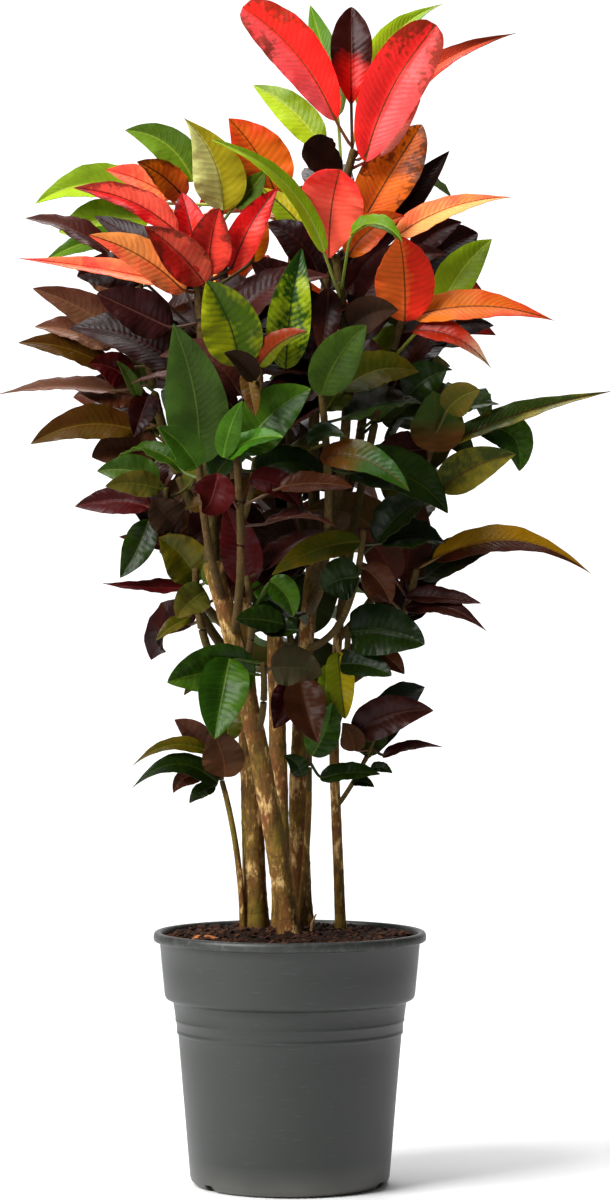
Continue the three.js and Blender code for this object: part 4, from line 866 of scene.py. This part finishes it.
caneRoutes = {name: Route(doubleBend, cane["points"]) for name, cane in canes.items()}
limbs = {}
for name, shoot in shoots.items():
    stock = caneRoutes[shoot["cane"]]
    route = Route(bend, (stock.at(stock.length * shoot["at"]), shoot["bend"], shoot["tip"]))
    parts, top = [], route.length
    foot, end = shoot["girth"]
    for colour, (length, rule) in shoot["parts"].items():
        node = f"{name}_{colour}"
        girth = [foot + (end - foot) * at / route.length for at in (top - length, top)]
        parts.append({"node": node, "colour": colour, "length": length, "rule": rule,
                      "rows": handLeaves.get(node, []), "from": top - length + growth["partGap"], "to": top,
                      "girth": girth, "leaves": [], "roots": [], "tree": solidTree(node)})
        top -= length
    limbs[name] = {"route": route, "parts": parts, "wood": top, "cane": shoot["cane"],
                   "girth": [foot, foot + (end - foot) * top / route.length]}

turnNow = growth["firstTurn"]
for byRule in (False, True):
    for name, limb in limbs.items():
        for part in limb["parts"]:
            low, high = part["from"] + growth["rootMargin"], part["to"] - growth["topMargin"]
            gap = min(growth["rootGap"], (high - low) / (len(part["rows"]) + part["rule"] + 1))
            for i in range(part["rule"] if byRule else len(part["rows"])):
                if byRule:
                    turnNow = (turnNow + growth["goldenTurn"]) % 360
                    tries = ruleTries(name.startswith("back_"), limb["route"], part, low, high, gap, i)
                else:
                    tries = handTries(limb["route"], part, low, high, gap, part["rows"][i])
                leaf = settled(part, tries)
                if leaf:
                    part["leaves"].append(leaf)
                    part["roots"].append(leaf["rootLength"])
print("leaves placed:", sum(len(part["leaves"]) for limb in limbs.values() for part in limb["parts"]))


# Modelling helpers: a flat grid is modelled once for each use, and its copies are laid along paths
def active(piece, *others):
    bpy.ops.object.select_all(action="DESELECT")
    for thing in (piece, *others):
        thing.select_set(True)
    bpy.context.view_layer.objects.active = piece


def gridBlank(title, columns, rows):
    bpy.ops.object.select_all(action="DESELECT")
    bpy.ops.mesh.primitive_grid_add(x_subdivisions=columns, y_subdivisions=rows, size=2)
    blank = bpy.context.object
    blank.name = title
    points = np.empty(len(blank.data.vertices) * 3)
    blank.data.vertices.foreach_get("co", points)
    points = points.reshape(-1, 3)
    return {"object": blank, "x": points[:, 0], "v": (points[:, 1] + 1) / 2}


def copyOf(blank, title, points):
    piece = bpy.data.objects.new(title, blank["object"].data.copy())
    bpy.context.collection.objects.link(piece)
    piece.data.vertices.foreach_set("co", (points * mm).ravel())
    return piece


# An attribute of one, three or four values for each point
def paint(piece, title, values):
    kind, field = {1: ("FLOAT", "value"), 3: ("FLOAT_VECTOR", "vector"), 4: ("FLOAT_COLOR", "color")}[len(values)]
    layer = piece.data.attributes.new(title, kind, "POINT")
    count = len(piece.data.vertices)
    rows = np.stack([np.broadcast_to(value, count) for value in values], axis=1)
    layer.data.foreach_set(field, rows.astype(np.float32).ravel())


def weld(piece):
    active(piece)
    bpy.ops.object.mode_set(mode="EDIT")
    bpy.ops.mesh.select_all(action="SELECT")
    bpy.ops.mesh.remove_doubles(threshold=weldGap)
    bpy.ops.mesh.normals_make_consistent(inside=False)
    bpy.ops.object.mode_set(mode="OBJECT")


def joined(pieces, title):
    active(*pieces)
    if len(pieces) > 1:
        bpy.ops.object.join()
    pieces[0].name = title
    pieces[0].data.name = title
    return pieces[0]


def dress(piece, *materials):
    piece.data.materials.clear()
    for material in materials:
        piece.data.materials.append(material)


def closed(pieces, title, *materials):
    piece = joined(pieces, title)
    weld(piece)
    dress(piece, *materials)
    return piece


def between(route, low, high):
    return lambda share: route.at(low + (high - low) * share)


# Rings round a path. Its frame turns as little as it can, and both ends close to a point.
def tubePoints(blank, path, girth):
    rows = len(np.unique(np.round(blank["v"], 6)))
    share = np.linspace(0, 1, rows)
    centre = path(share)
    along = unit(np.gradient(centre, axis=0))
    side = [across([1, 0.1, 0.05], along[0])]
    for row in along[1:]:
        side.append(across(side[-1], row))
    side = np.array(side)
    normal = np.cross(along, side)
    i = np.round(blank["v"] * (rows - 1)).astype(int)
    turn = -blank["x"] * math.pi
    radius = girth(share[i], turn)
    radius = np.where((i == 0) | (i == rows - 1), 0, radius)
    around = np.cos(turn)[:, None] * side[i] + np.sin(turn)[:, None] * normal[i]
    return centre[i] + radius[:, None] * around, share[i], turn


# Leaves: folded blades with a paler underside, and a petiole that runs on as the midrib
leafForm = {"columns": 10, "rows": 26, "stalkSides": 6, "stalkRows": 18, "stemSides": 10, "stemRows": 30,
            "thickness": 0.75, "baseHalf": 1.3, "crease": 0.012, "ripple": 0.07, "ripples": 38, "veinGap": 6.2,
            "fewestVeins": 7, "curl": 0.035, "curlFrom": 0.6, "petioleFoot": 2.15, "petioleRadius": 1.55,
            "midribRadius": 1.15, "midribTip": 0.3, "midribEnd": 0.93, "midribSink": 0.9, "scar": 0.07, "stemAge": 0.25,
            "seed": 6}
bladeBlank = gridBlank("bladeBlank", leafForm["columns"], leafForm["rows"])
stalkBlank = gridBlank("stalkBlank", leafForm["stalkSides"], leafForm["stalkRows"])
stemBlank = gridBlank("stemBlank", leafForm["stemSides"], leafForm["stemRows"])
looks = random.Random(leafForm["seed"])


def bladePiece(leaf, number):
    x = bladeBlank["x"]
    v = 0.4 * bladeBlank["v"] + 0.3 - 0.3 * np.cos(math.pi * bladeBlank["v"])  # closer rows near both ends
    centre, along, normal, side, half = bladeLine(leaf, v)
    half = np.where(v < 0.5, np.maximum(half, leafForm["baseHalf"]), half)
    lean = math.radians(leaf["fold"]) * np.minimum(1, v / 0.06)
    out = np.sqrt(x * x + leafForm["crease"]) - math.sqrt(leafForm["crease"])
    wave = -x * leaf["wave"] * half * np.sin(growth["waves"] * v + leaf["face"])
    ripple = leafForm["ripple"] * half * out ** 2 * np.sin((leafForm["ripples"] + number % 9) * v + number)
    length = np.linalg.norm(leaf["tip"] - leaf["base"])
    beyond = np.clip(v - leafForm["curlFrom"], 0, 1)
    droop = leafForm["curl"] * length * beyond ** 2 * (4 - 10 * beyond)
    up = half * np.sin(lean) * out * (1.9 - 0.9 * out) + wave + ripple - droop
    points = centre + side * (x * half * np.cos(lean))[:, None] + normal * up[:, None]
    piece = copyOf(bladeBlank, "blade", points)
    look = leafLooks[leaf["look"]]
    shift = looks.uniform(0.8, 1.12)
    for title, colour in zip(("main", "second", "vein"), look):
        tint = [channel * shift * looks.uniform(0.93, 1.07) for channel in rgb(*colour)[:3]]
        paint(piece, title, (*tint, 1))
    paint(piece, "blade", (x, v, half * mm))
    paint(piece, "veins", [max(leafForm["fewestVeins"], round(length / leafForm["veinGap"]))])
    along, edge, sideways, patches, level = look[3]
    paint(piece, "spread", (along, edge, sideways))
    paint(piece, "level", (patches, level + looks.uniform(-0.12, 0.12), look[4]))
    paint(piece, "spots", look[5])
    return piece


def stalkPiece(leaf):
    look = leafLooks[leaf["look"]]
    reach = np.linalg.norm(leaf["base"] - leaf["root"])
    length = np.linalg.norm(leaf["tip"] - leaf["base"])
    join = reach / (reach + leafForm["midribEnd"] * length)

    def path(share):
        v = np.clip((share - join) / (1 - join), 0, 1) * leafForm["midribEnd"]
        centre, along, normal, side, half = bladeLine(leaf, v)
        stalk = leaf["root"] + (leaf["base"] - leaf["root"]) * np.minimum(share / join, 1)[:, None]
        sink = np.where(v > 0, leafForm["midribSink"] * (1 - v) * np.minimum(1, v / 0.05), 0)
        line = np.where((share <= join)[:, None], stalk, centre - normal * sink[:, None])
        for _ in range(2):
            line[1:-1] = (line[:-2] + 2 * line[1:-1] + line[2:]) / 4
        return line

    def girth(share, turn):
        ends = (0, 0.08, join, min(0.98, join + 0.1), 1)
        radii = ("petioleFoot", "petioleRadius", "petioleRadius", "midribRadius", "midribTip")
        return np.interp(share, ends, [leafForm[key] for key in radii])

    points, share, turn = tubePoints(stalkBlank, path, girth)
    piece = copyOf(stalkBlank, "stalk", points)
    shift = looks.uniform(0.9, 1.1)
    paint(piece, "vein", [channel * shift for channel in rgb(*look[2])[:3]] + [1])
    paint(piece, "blade", (0 * share, np.clip((share - join) / (1 - join), 0, 1), 0 * share))
    return piece


# Young stem: leaf scars as low rings, and a rounded top
def stemPiece(route, low, high, girth):
    def around(share, turn):
        length = low + (high - low) * share
        scars = leafForm["scar"] * np.maximum(0, np.sin(length * 0.9 + np.sin(turn + length * 0.21))) ** 3
        tip = np.sqrt(np.clip(1 - ((share - 0.93) / 0.07).clip(0, 1) ** 2, 0.05, 1))
        return (girth[0] + (girth[1] - girth[0]) * share) * (1 + scars) * tip

    points, share, turn = tubePoints(stemBlank, between(route, low, high), around)
    piece = copyOf(stemBlank, "stem", points)
    paint(piece, "wood", (leafForm["stemAge"], low + (high - low) * share, turn))
    return piece


leafTop = leafFinish("leafTop", False)
leafUnder = leafFinish("leafUnder", True)
leafStalk = stalkFinish("leafStalk")
barkFinish = bark("bark")

for name, limb in limbs.items():
    for part in limb["parts"]:
        blades = [bladePiece(leaf, number) for number, leaf in enumerate(part["leaves"])]
        blade = closed(blades, "blades", leafTop, leafUnder)
        active(blade)
        bpy.ops.object.modifier_add(type="SOLIDIFY")
        solidify = blade.modifiers[-1]
        solidify.thickness = leafForm["thickness"] * mm
        solidify.material_offset = 1
        solidify.material_offset_rim = 1
        bpy.ops.object.modifier_apply(modifier=solidify.name)
        stalk = closed([stalkPiece(leaf) for leaf in part["leaves"]], "stalks", leafStalk)
        stem = closed([stemPiece(limb["route"], part["from"], part["to"], part["girth"])], "stem", barkFinish)
        piece = joined([blade, stalk, stem], f"{name}_{part['colour']}_leaves")
        active(piece)
        bpy.ops.object.shade_smooth_by_angle(angle=math.radians(50))
        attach(piece, "root")
        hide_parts(part["node"])
print("leafy shoots done")


# Canes: stout, ringed with old leaf scars and flared at the soil, each with its bare limbs
caneForm = {"sides": 28, "rows": 150, "limbSides": 16, "limbRows": 60, "flare": 0.22, "flareTop": 62, "flareFade": 16,
            "scar": 0.035, "knot": 0.09, "slim": 0.97, "oldTo": 420, "youngFrom": 680, "limbAge": 0.25}
caneBlank = gridBlank("caneBlank", caneForm["sides"], caneForm["rows"])
limbBlank = gridBlank("limbBlank", caneForm["limbSides"], caneForm["limbRows"])


def woodPiece(blank, route, low, high, girth, flare, seed):
    def around(share, turn):
        length = low + (high - low) * share
        scar = np.sin(length * 0.31 + 1.4 * np.sin(length * 0.06 + seed) + 0.7 * np.sin(turn + seed))
        knots = np.sin(turn * 2 + seed + length * 0.03) * np.sin(length * 0.047 + seed * 2)
        knots = knots * np.cos(turn + length * 0.011)
        fade = np.exp(-np.maximum(0, length - caneForm["flareTop"]) / caneForm["flareFade"])
        foot = flare * fade * (1 + 0.25 * np.sin(turn * 5 + seed))
        top = np.sqrt(np.clip(1 - ((share - 0.985) / 0.015).clip(0, 1) ** 2, 0.1, 1))
        body = 1 + caneForm["scar"] * np.maximum(0, scar) ** 4 + caneForm["knot"] * knots + foot
        return (girth[0] + (girth[1] - girth[0]) * share) * body * top * caneForm["slim"]

    points, share, turn = tubePoints(blank, between(route, low, high), around)
    piece = copyOf(blank, "wood", points)
    length = low + (high - low) * share
    ageAndShade = caneForm["limbAge"]
    # up the cane the bark turns from old tan wood to dark young bark: partly real younger bark, partly painted shade of
    # the crown
    if flare:
        span = caneForm["youngFrom"] - caneForm["oldTo"]
        ageAndShade = np.clip(1 - (length - caneForm["oldTo"]) / span, 0.1, 1)
    paint(piece, "wood", (ageAndShade, length, turn))
    return piece


for number, (name, cane) in enumerate(canes.items()):
    route = caneRoutes[name]
    pieces = [woodPiece(caneBlank, route, 0.3, route.length, cane["girth"], caneForm["flare"], number + 1)]
    for limb in limbs.values():
        if limb["cane"] == name:
            pieces.append(woodPiece(limbBlank, limb["route"], 0, limb["wood"], limb["girth"], 0, limb["wood"] % 7))
    piece = closed(pieces, f"{name}_cane", barkFinish)
    active(piece)
    bpy.ops.object.shade_smooth()
    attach(piece, "root")
    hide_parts(f"cane_{name}")
print("canes done")


# Pot: one wall drawn up from its floor, ring by ring, over the collar and the rolled rim and down inside
potForm = {
    "sides": 128,
    "outside": [(0.5, 0.6), (88, 0.6), (90.2, 0), (92, 0.3), (95.6, 2.4), (98.2, 5), (99.2, 8), (103.1, 54),
                (107.1, 102), (109.8, 134), (111, 148.5), (111.4, 149.6), (112.3, 150.4), (112.6, 151.6), (112.5, 153),
                (112.2, 154.2), (112.5, 155.4), (112.9, 161.5), (113.7, 162.4), (114, 163.6), (113.9, 164.8),
                (113.8, 166), (115.9, 180.4), (116.6, 181.8), (118, 182.6), (121.8, 184.4), (123.2, 185.4),
                (124, 186.9), (124.5, 189), (126.9, 214), (129.3, 239.4), (129.9, 240.8), (131, 241.2),
                (134.2, 241.7), (135.2, 242.5), (135.5, 244), (135.5, 247), (135.1, 248.8), (134.2, 250.1),
                (132.8, 250.8), (131, 251), (129.4, 250.6), (128.3, 249.6), (127.7, 247.5)],
    "inside": [(127.1, 242), (124.6, 216), (122.2, 191), (121.4, 189), (113, 182.2), (112.4, 178), (103.6, 90),
               (95, 5), (93.6, 3), (0.5, 3)],
    "slot": (24, 15, 14), "slotEdge": 3, "slotRadius": 99, "slotTurns": (-144, -24, 96),
}


def plastic(name):
    material, wire = finish(name)
    broad = wire.noise(wire.place(), 9, 3)
    fine = wire.noise(wire.place(), 900, 2)
    x, y, z = wire.place().split()
    scuffs = wire.noise(wire.stretched((1, 1, 9)), 60, 5, 0.7).above(0.6, 7)
    dust = ((0.03 - z) * 30).held() * broad
    rim = z.above(0.2405, 400) * wire.noise(wire.place(), 150, 4, 0.7).above(0.5, 5)
    colour = wire.blend(broad, rgb(38, 41, 39), rgb(47, 50, 47))
    colour = wire.blend(scuffs * 0.22, colour, rgb(128, 134, 134))
    colour = wire.blend((dust + rim * 0.35).held() * 0.5, colour, rgb(150, 146, 138))
    height = fine * 0.35 + scuffs * 0.2 + broad * 0.6
    shade(wire, colour, 0.38 + broad * 0.12 + scuffs * 0.2 + fine * 0.05, 0.5, height, 0.2, 0.0006)
    return material


# A round disc drawn up through a profile of radius and height, as its edge is extruded and resized
def drawnUp(title, profile, sides):
    bpy.ops.object.select_all(action="DESELECT")
    radius, height = profile[0]
    bpy.ops.mesh.primitive_circle_add(vertices=sides, radius=radius * mm, location=(0, 0, height * mm),
                                      fill_type="NGON")
    piece = bpy.context.object
    piece.name = title
    bpy.ops.object.transform_apply(location=True)
    bpy.ops.object.mode_set(mode="EDIT")
    bpy.ops.mesh.select_all(action="SELECT")
    for near, far in zip(profile, profile[1:]):
        bpy.ops.mesh.extrude_region_move(TRANSFORM_OT_translate={"value": (0, 0, (far[1] - near[1]) * mm)})
        bpy.ops.transform.resize(value=(far[0] / near[0], far[0] / near[0], 1), center_override=(0, 0, 0))
    bpy.ops.mesh.select_all(action="SELECT")
    bpy.ops.mesh.normals_make_consistent(inside=False)
    bpy.ops.object.mode_set(mode="OBJECT")
    return piece


pot = drawnUp("nurseryPot", potForm["outside"] + potForm["inside"], potForm["sides"])
cutters = []
for turn in potForm["slotTurns"]:
    bpy.ops.object.select_all(action="DESELECT")
    where = math.radians(turn)
    reach = potForm["slotRadius"] * mm
    bpy.ops.mesh.primitive_cube_add(size=mm, location=(reach * math.cos(where), reach * math.sin(where), 0),
                                    rotation=(0, 0, where), scale=potForm["slot"])
    cutter = bpy.context.object
    active(cutter)
    bpy.ops.object.transform_apply()
    bpy.ops.object.mode_set(mode="EDIT")
    bpy.ops.mesh.select_all(action="SELECT")
    bpy.ops.mesh.bevel(offset=potForm["slotEdge"] * mm, segments=3)
    bpy.ops.object.mode_set(mode="OBJECT")
    cutters.append(cutter)
cutter = joined(cutters, "slotCutter")
active(pot)
bpy.ops.object.modifier_add(type="BOOLEAN")
pot.modifiers[-1].object = cutter
pot.modifiers[-1].operation = "DIFFERENCE"
bpy.ops.object.modifier_apply(modifier=pot.modifiers[-1].name)
bpy.data.objects.remove(cutter)
dress(pot, plastic("plastic"))
active(pot)
bpy.ops.object.shade_smooth_by_angle(angle=math.radians(40))
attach(pot, "root")
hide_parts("pot")
print("pot done")


# Soil: peat with a lumpy top, strewn with bark chips
soilForm = {
    "side": [(0.5, 3.4), (92.2, 3.4), (94.4, 6), (103, 90), (111.8, 178), (112.4, 182.4), (120.6, 189.4), (121.6, 191),
             (123.9, 216), (126, 238), (126.4, 243)],
    "sides": 96, "level": 246, "topRings": (124, 4, 31), "dome": 7, "domeReach": 120, "lump": 1.7, "crumb": 1.1,
    "chips": 900, "seed": 11, "chipReach": 121, "chipSize": ((0.8, 4.4), (0.7, 2.3), (0.5, 1.5)), "chipTilt": 0.5,
    "bigChips": [(-72, -52), (-93, -36)], "bigChipSize": (12, 6, 2),
    "sprout": ((23, -20, 246), (18, -22, 258), (27, -19, 270)), "sproutGirth": (2.1, 0.8),
}


def peat(name):
    material, wire = finish(name)
    broad = wire.noise(wire.place(), 60, 4, 0.6)
    fine = wire.noise(wire.place(), 420, 5, 0.7)
    stops = [(0.3, rgb(17, 8, 3)), (0.5, rgb(33, 17, 7)), (0.66, rgb(55, 28, 12)), (0.8, rgb(82, 46, 22))]
    colour = wire.make("ShaderNodeValToRGB", {"stops": stops}, {"Fac": broad * 0.45 + fine * 0.55})
    shade(wire, colour, 0.85 + fine * 0.15, 0.2, broad + fine, 1, 0.003)
    return material


def chipFinish(name, dark, light):
    material, wire = finish(name)
    grain = wire.noise(wire.stretched((1, 0.3, 0.6)), 380, 4, 0.6)
    colour = wire.blend(grain, dark, light)
    shade(wire, colour, 0.7 + grain * 0.25, 0.25, grain, 0.7, 0.001)
    return material


def soilHeight(x, y):
    radius = np.hypot(x, y)
    lump = np.sin(x * 0.11 + 1.3) * np.cos(y * 0.13) + 0.6 * np.sin(x * 0.23 - y * 0.19)
    small = np.sin(x * 0.7 + 2 * np.sin(y * 0.31)) * np.cos(y * 0.63 + np.sin(x * 0.27))
    level = soilForm["level"] + soilForm["dome"] * (1 - radius / soilForm["domeReach"])
    return level + soilForm["lump"] * lump + soilForm["crumb"] * small


top = [(radius, soilForm["level"]) for radius in (*np.linspace(*soilForm["topRings"]), 0.5)]
soil = drawnUp("potSoil", soilForm["side"] + top, soilForm["sides"])
for vertex in soil.data.vertices:
    x, y, z = vertex.co / mm
    if z > soilForm["level"] - 2:
        vertex.co.z = soilHeight(x, y) * mm
dress(soil, peat("peat"))
chipFinishes = {title: chipFinish(title, dark, light) for title, dark, light in (
    ("orangeChip", rgb(150, 78, 36), rgb(214, 136, 76)), ("brownChip", rgb(30, 14, 6), rgb(66, 33, 16)),
    ("paleChip", rgb(52, 28, 13), rgb(94, 55, 29)), ("paleRoot", rgb(128, 86, 50), rgb(196, 152, 104)))}
draws = random.Random(soilForm["seed"])
bpy.ops.object.select_all(action="DESELECT")
bpy.ops.mesh.primitive_cube_add(size=2)
chip = bpy.context.object
active(chip)
bpy.ops.object.mode_set(mode="EDIT")
bpy.ops.mesh.select_all(action="SELECT")
bpy.ops.mesh.bevel(offset=0.45, segments=1)
bpy.ops.object.mode_set(mode="OBJECT")
chipRest = np.array([vertex.co[:] for vertex in chip.data.vertices])
chips = []
for i in range(soilForm["chips"]):
    radius = soilForm["chipReach"] * math.sqrt(draws.random())
    where = draws.uniform(0, 2 * math.pi)
    x, y = radius * math.cos(where), radius * math.sin(where)
    size = np.array([draws.uniform(*span) for span in soilForm["chipSize"]])
    big = i < len(soilForm["bigChips"])
    if big:
        x, y = soilForm["bigChips"][i]
        size = np.array(soilForm["bigChipSize"]) / (1 + i)
    tilt = [draws.uniform(-soilForm["chipTilt"], soilForm["chipTilt"]) for _ in range(2)]
    turn = Euler((*tilt, draws.uniform(0, 6.28))).to_matrix()
    knocked = chipRest * size * np.array([[draws.uniform(0.8, 1.2) for _ in range(3)] for _ in chipRest])
    points = knocked @ np.array(turn).T + (x, y, float(soilHeight(x, y)) + 0.5)
    piece = bpy.data.objects.new("chip", chip.data.copy())
    bpy.context.collection.objects.link(piece)
    piece.data.vertices.foreach_set("co", (points * mm).ravel())
    dress(piece, chipFinishes["orangeChip" if big else draws.choice(("brownChip",) * 3 + ("paleChip",))])
    chips.append(piece)
bpy.data.objects.remove(chip)
foot, tip = soilForm["sproutGirth"]
points, share, turn = tubePoints(stalkBlank, lambda share: bend(soilForm["sprout"], share),
                                 lambda share, turn: foot - (foot - tip) * share + 0.3 * np.sin(share * 19 + turn))
sprout = copyOf(stalkBlank, "sprout", points)
dress(sprout, chipFinishes["paleRoot"])
soil = joined([soil, *chips, sprout], "potSoil")
active(soil)
bpy.ops.object.shade_smooth_by_angle(angle=math.radians(35))
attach(soil, "root")
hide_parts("soil")
print("soil done")

for blank in (bladeBlank, stalkBlank, stemBlank, caneBlank, limbBlank):
    bpy.data.objects.remove(blank["object"])


# Studio: a pale floor, soft lamps and a room that is white behind the plant, with the camera where the photograph
# was taken
studio = {"camera": (0.015, -3.62, 0.58), "lens": 109.2, "sensor": 36, "floor": (3.2, 3.6), "floorPlace": (0, 0.5, 0),
          "floorTones": ((0.9, 0.9, 0.9, 1), (0.92, 0.92, 0.92, 1)), "roomTone": (0.12, 0.12, 0.12, 1),
          "backTone": (1.3, 1.3, 1.3, 1), "backEdge": 0.8, "backSharpness": 12}
lamps = {
    "keyLamp": {"place": (-2.4, -1.8, 2.6), "aim": (0, 0, 0.7), "size": 1.9, "power": 222},
    "topLamp": {"place": (-0.2, 0.3, 3.1), "aim": (0, 0, 0.6), "size": 1.8, "power": 46},
    "floorLamp": {"place": (0, 1.6, 3.2), "aim": (0, 1.7, 0), "size": 1.6, "power": 60},
}

bpy.ops.object.select_all(action="DESELECT")
bpy.ops.mesh.primitive_plane_add(size=1, location=studio["floorPlace"])
floor = bpy.context.object
floor.name = "studioFloor"
floor.scale = (*studio["floor"], 1)
bpy.ops.object.transform_apply(location=True, scale=True)
floorMaterial, wire = finish("paleFloor")
grain = wire.noise(wire.place(), 3, 2)
shade(wire, wire.blend(grain, *studio["floorTones"]), grain * 0.1 + 0.8, 0.1, grain, 0.02, 0.001)
dress(floor, floorMaterial)
floor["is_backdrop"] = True

scene = bpy.context.scene
world = bpy.data.worlds.new("studioRoom")
scene.world = world
world.use_nodes = True
room = Wire(world.node_tree)
left, depth, up = room.place("Generated").split()
behind = depth.above(studio["backEdge"], studio["backSharpness"])
light = room.blend(behind, studio["roomTone"], studio["backTone"])
world.node_tree.links.new(light.socket, world.node_tree.nodes["Background"].inputs["Color"])
for title, setting in lamps.items():
    data = bpy.data.lights.new(title, "AREA")
    data.energy = setting["power"]
    data.size = setting["size"]
    lamp = bpy.data.objects.new(title, data)
    bpy.context.collection.objects.link(lamp)
    lamp.location = setting["place"]
    heading = Vector(setting["place"]) - Vector(setting["aim"])
    lamp.rotation_euler = heading.to_track_quat("Z", "Y").to_euler()
scene.view_settings.view_transform = "Standard"

cameraData = bpy.data.cameras.new("photoCamera")
cameraData.lens = studio["lens"]
cameraData.sensor_width = studio["sensor"]
camera = bpy.data.objects.new("photoCamera", cameraData)
bpy.context.collection.objects.link(camera)
camera.location = studio["camera"]
camera.rotation_euler = (math.pi / 2, 0, 0)
scene.camera = camera
print("studio done")

bpy.context.view_layer.update()
[[[float(c) for c in corner] for corner in box] for box in (cadBox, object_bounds())]
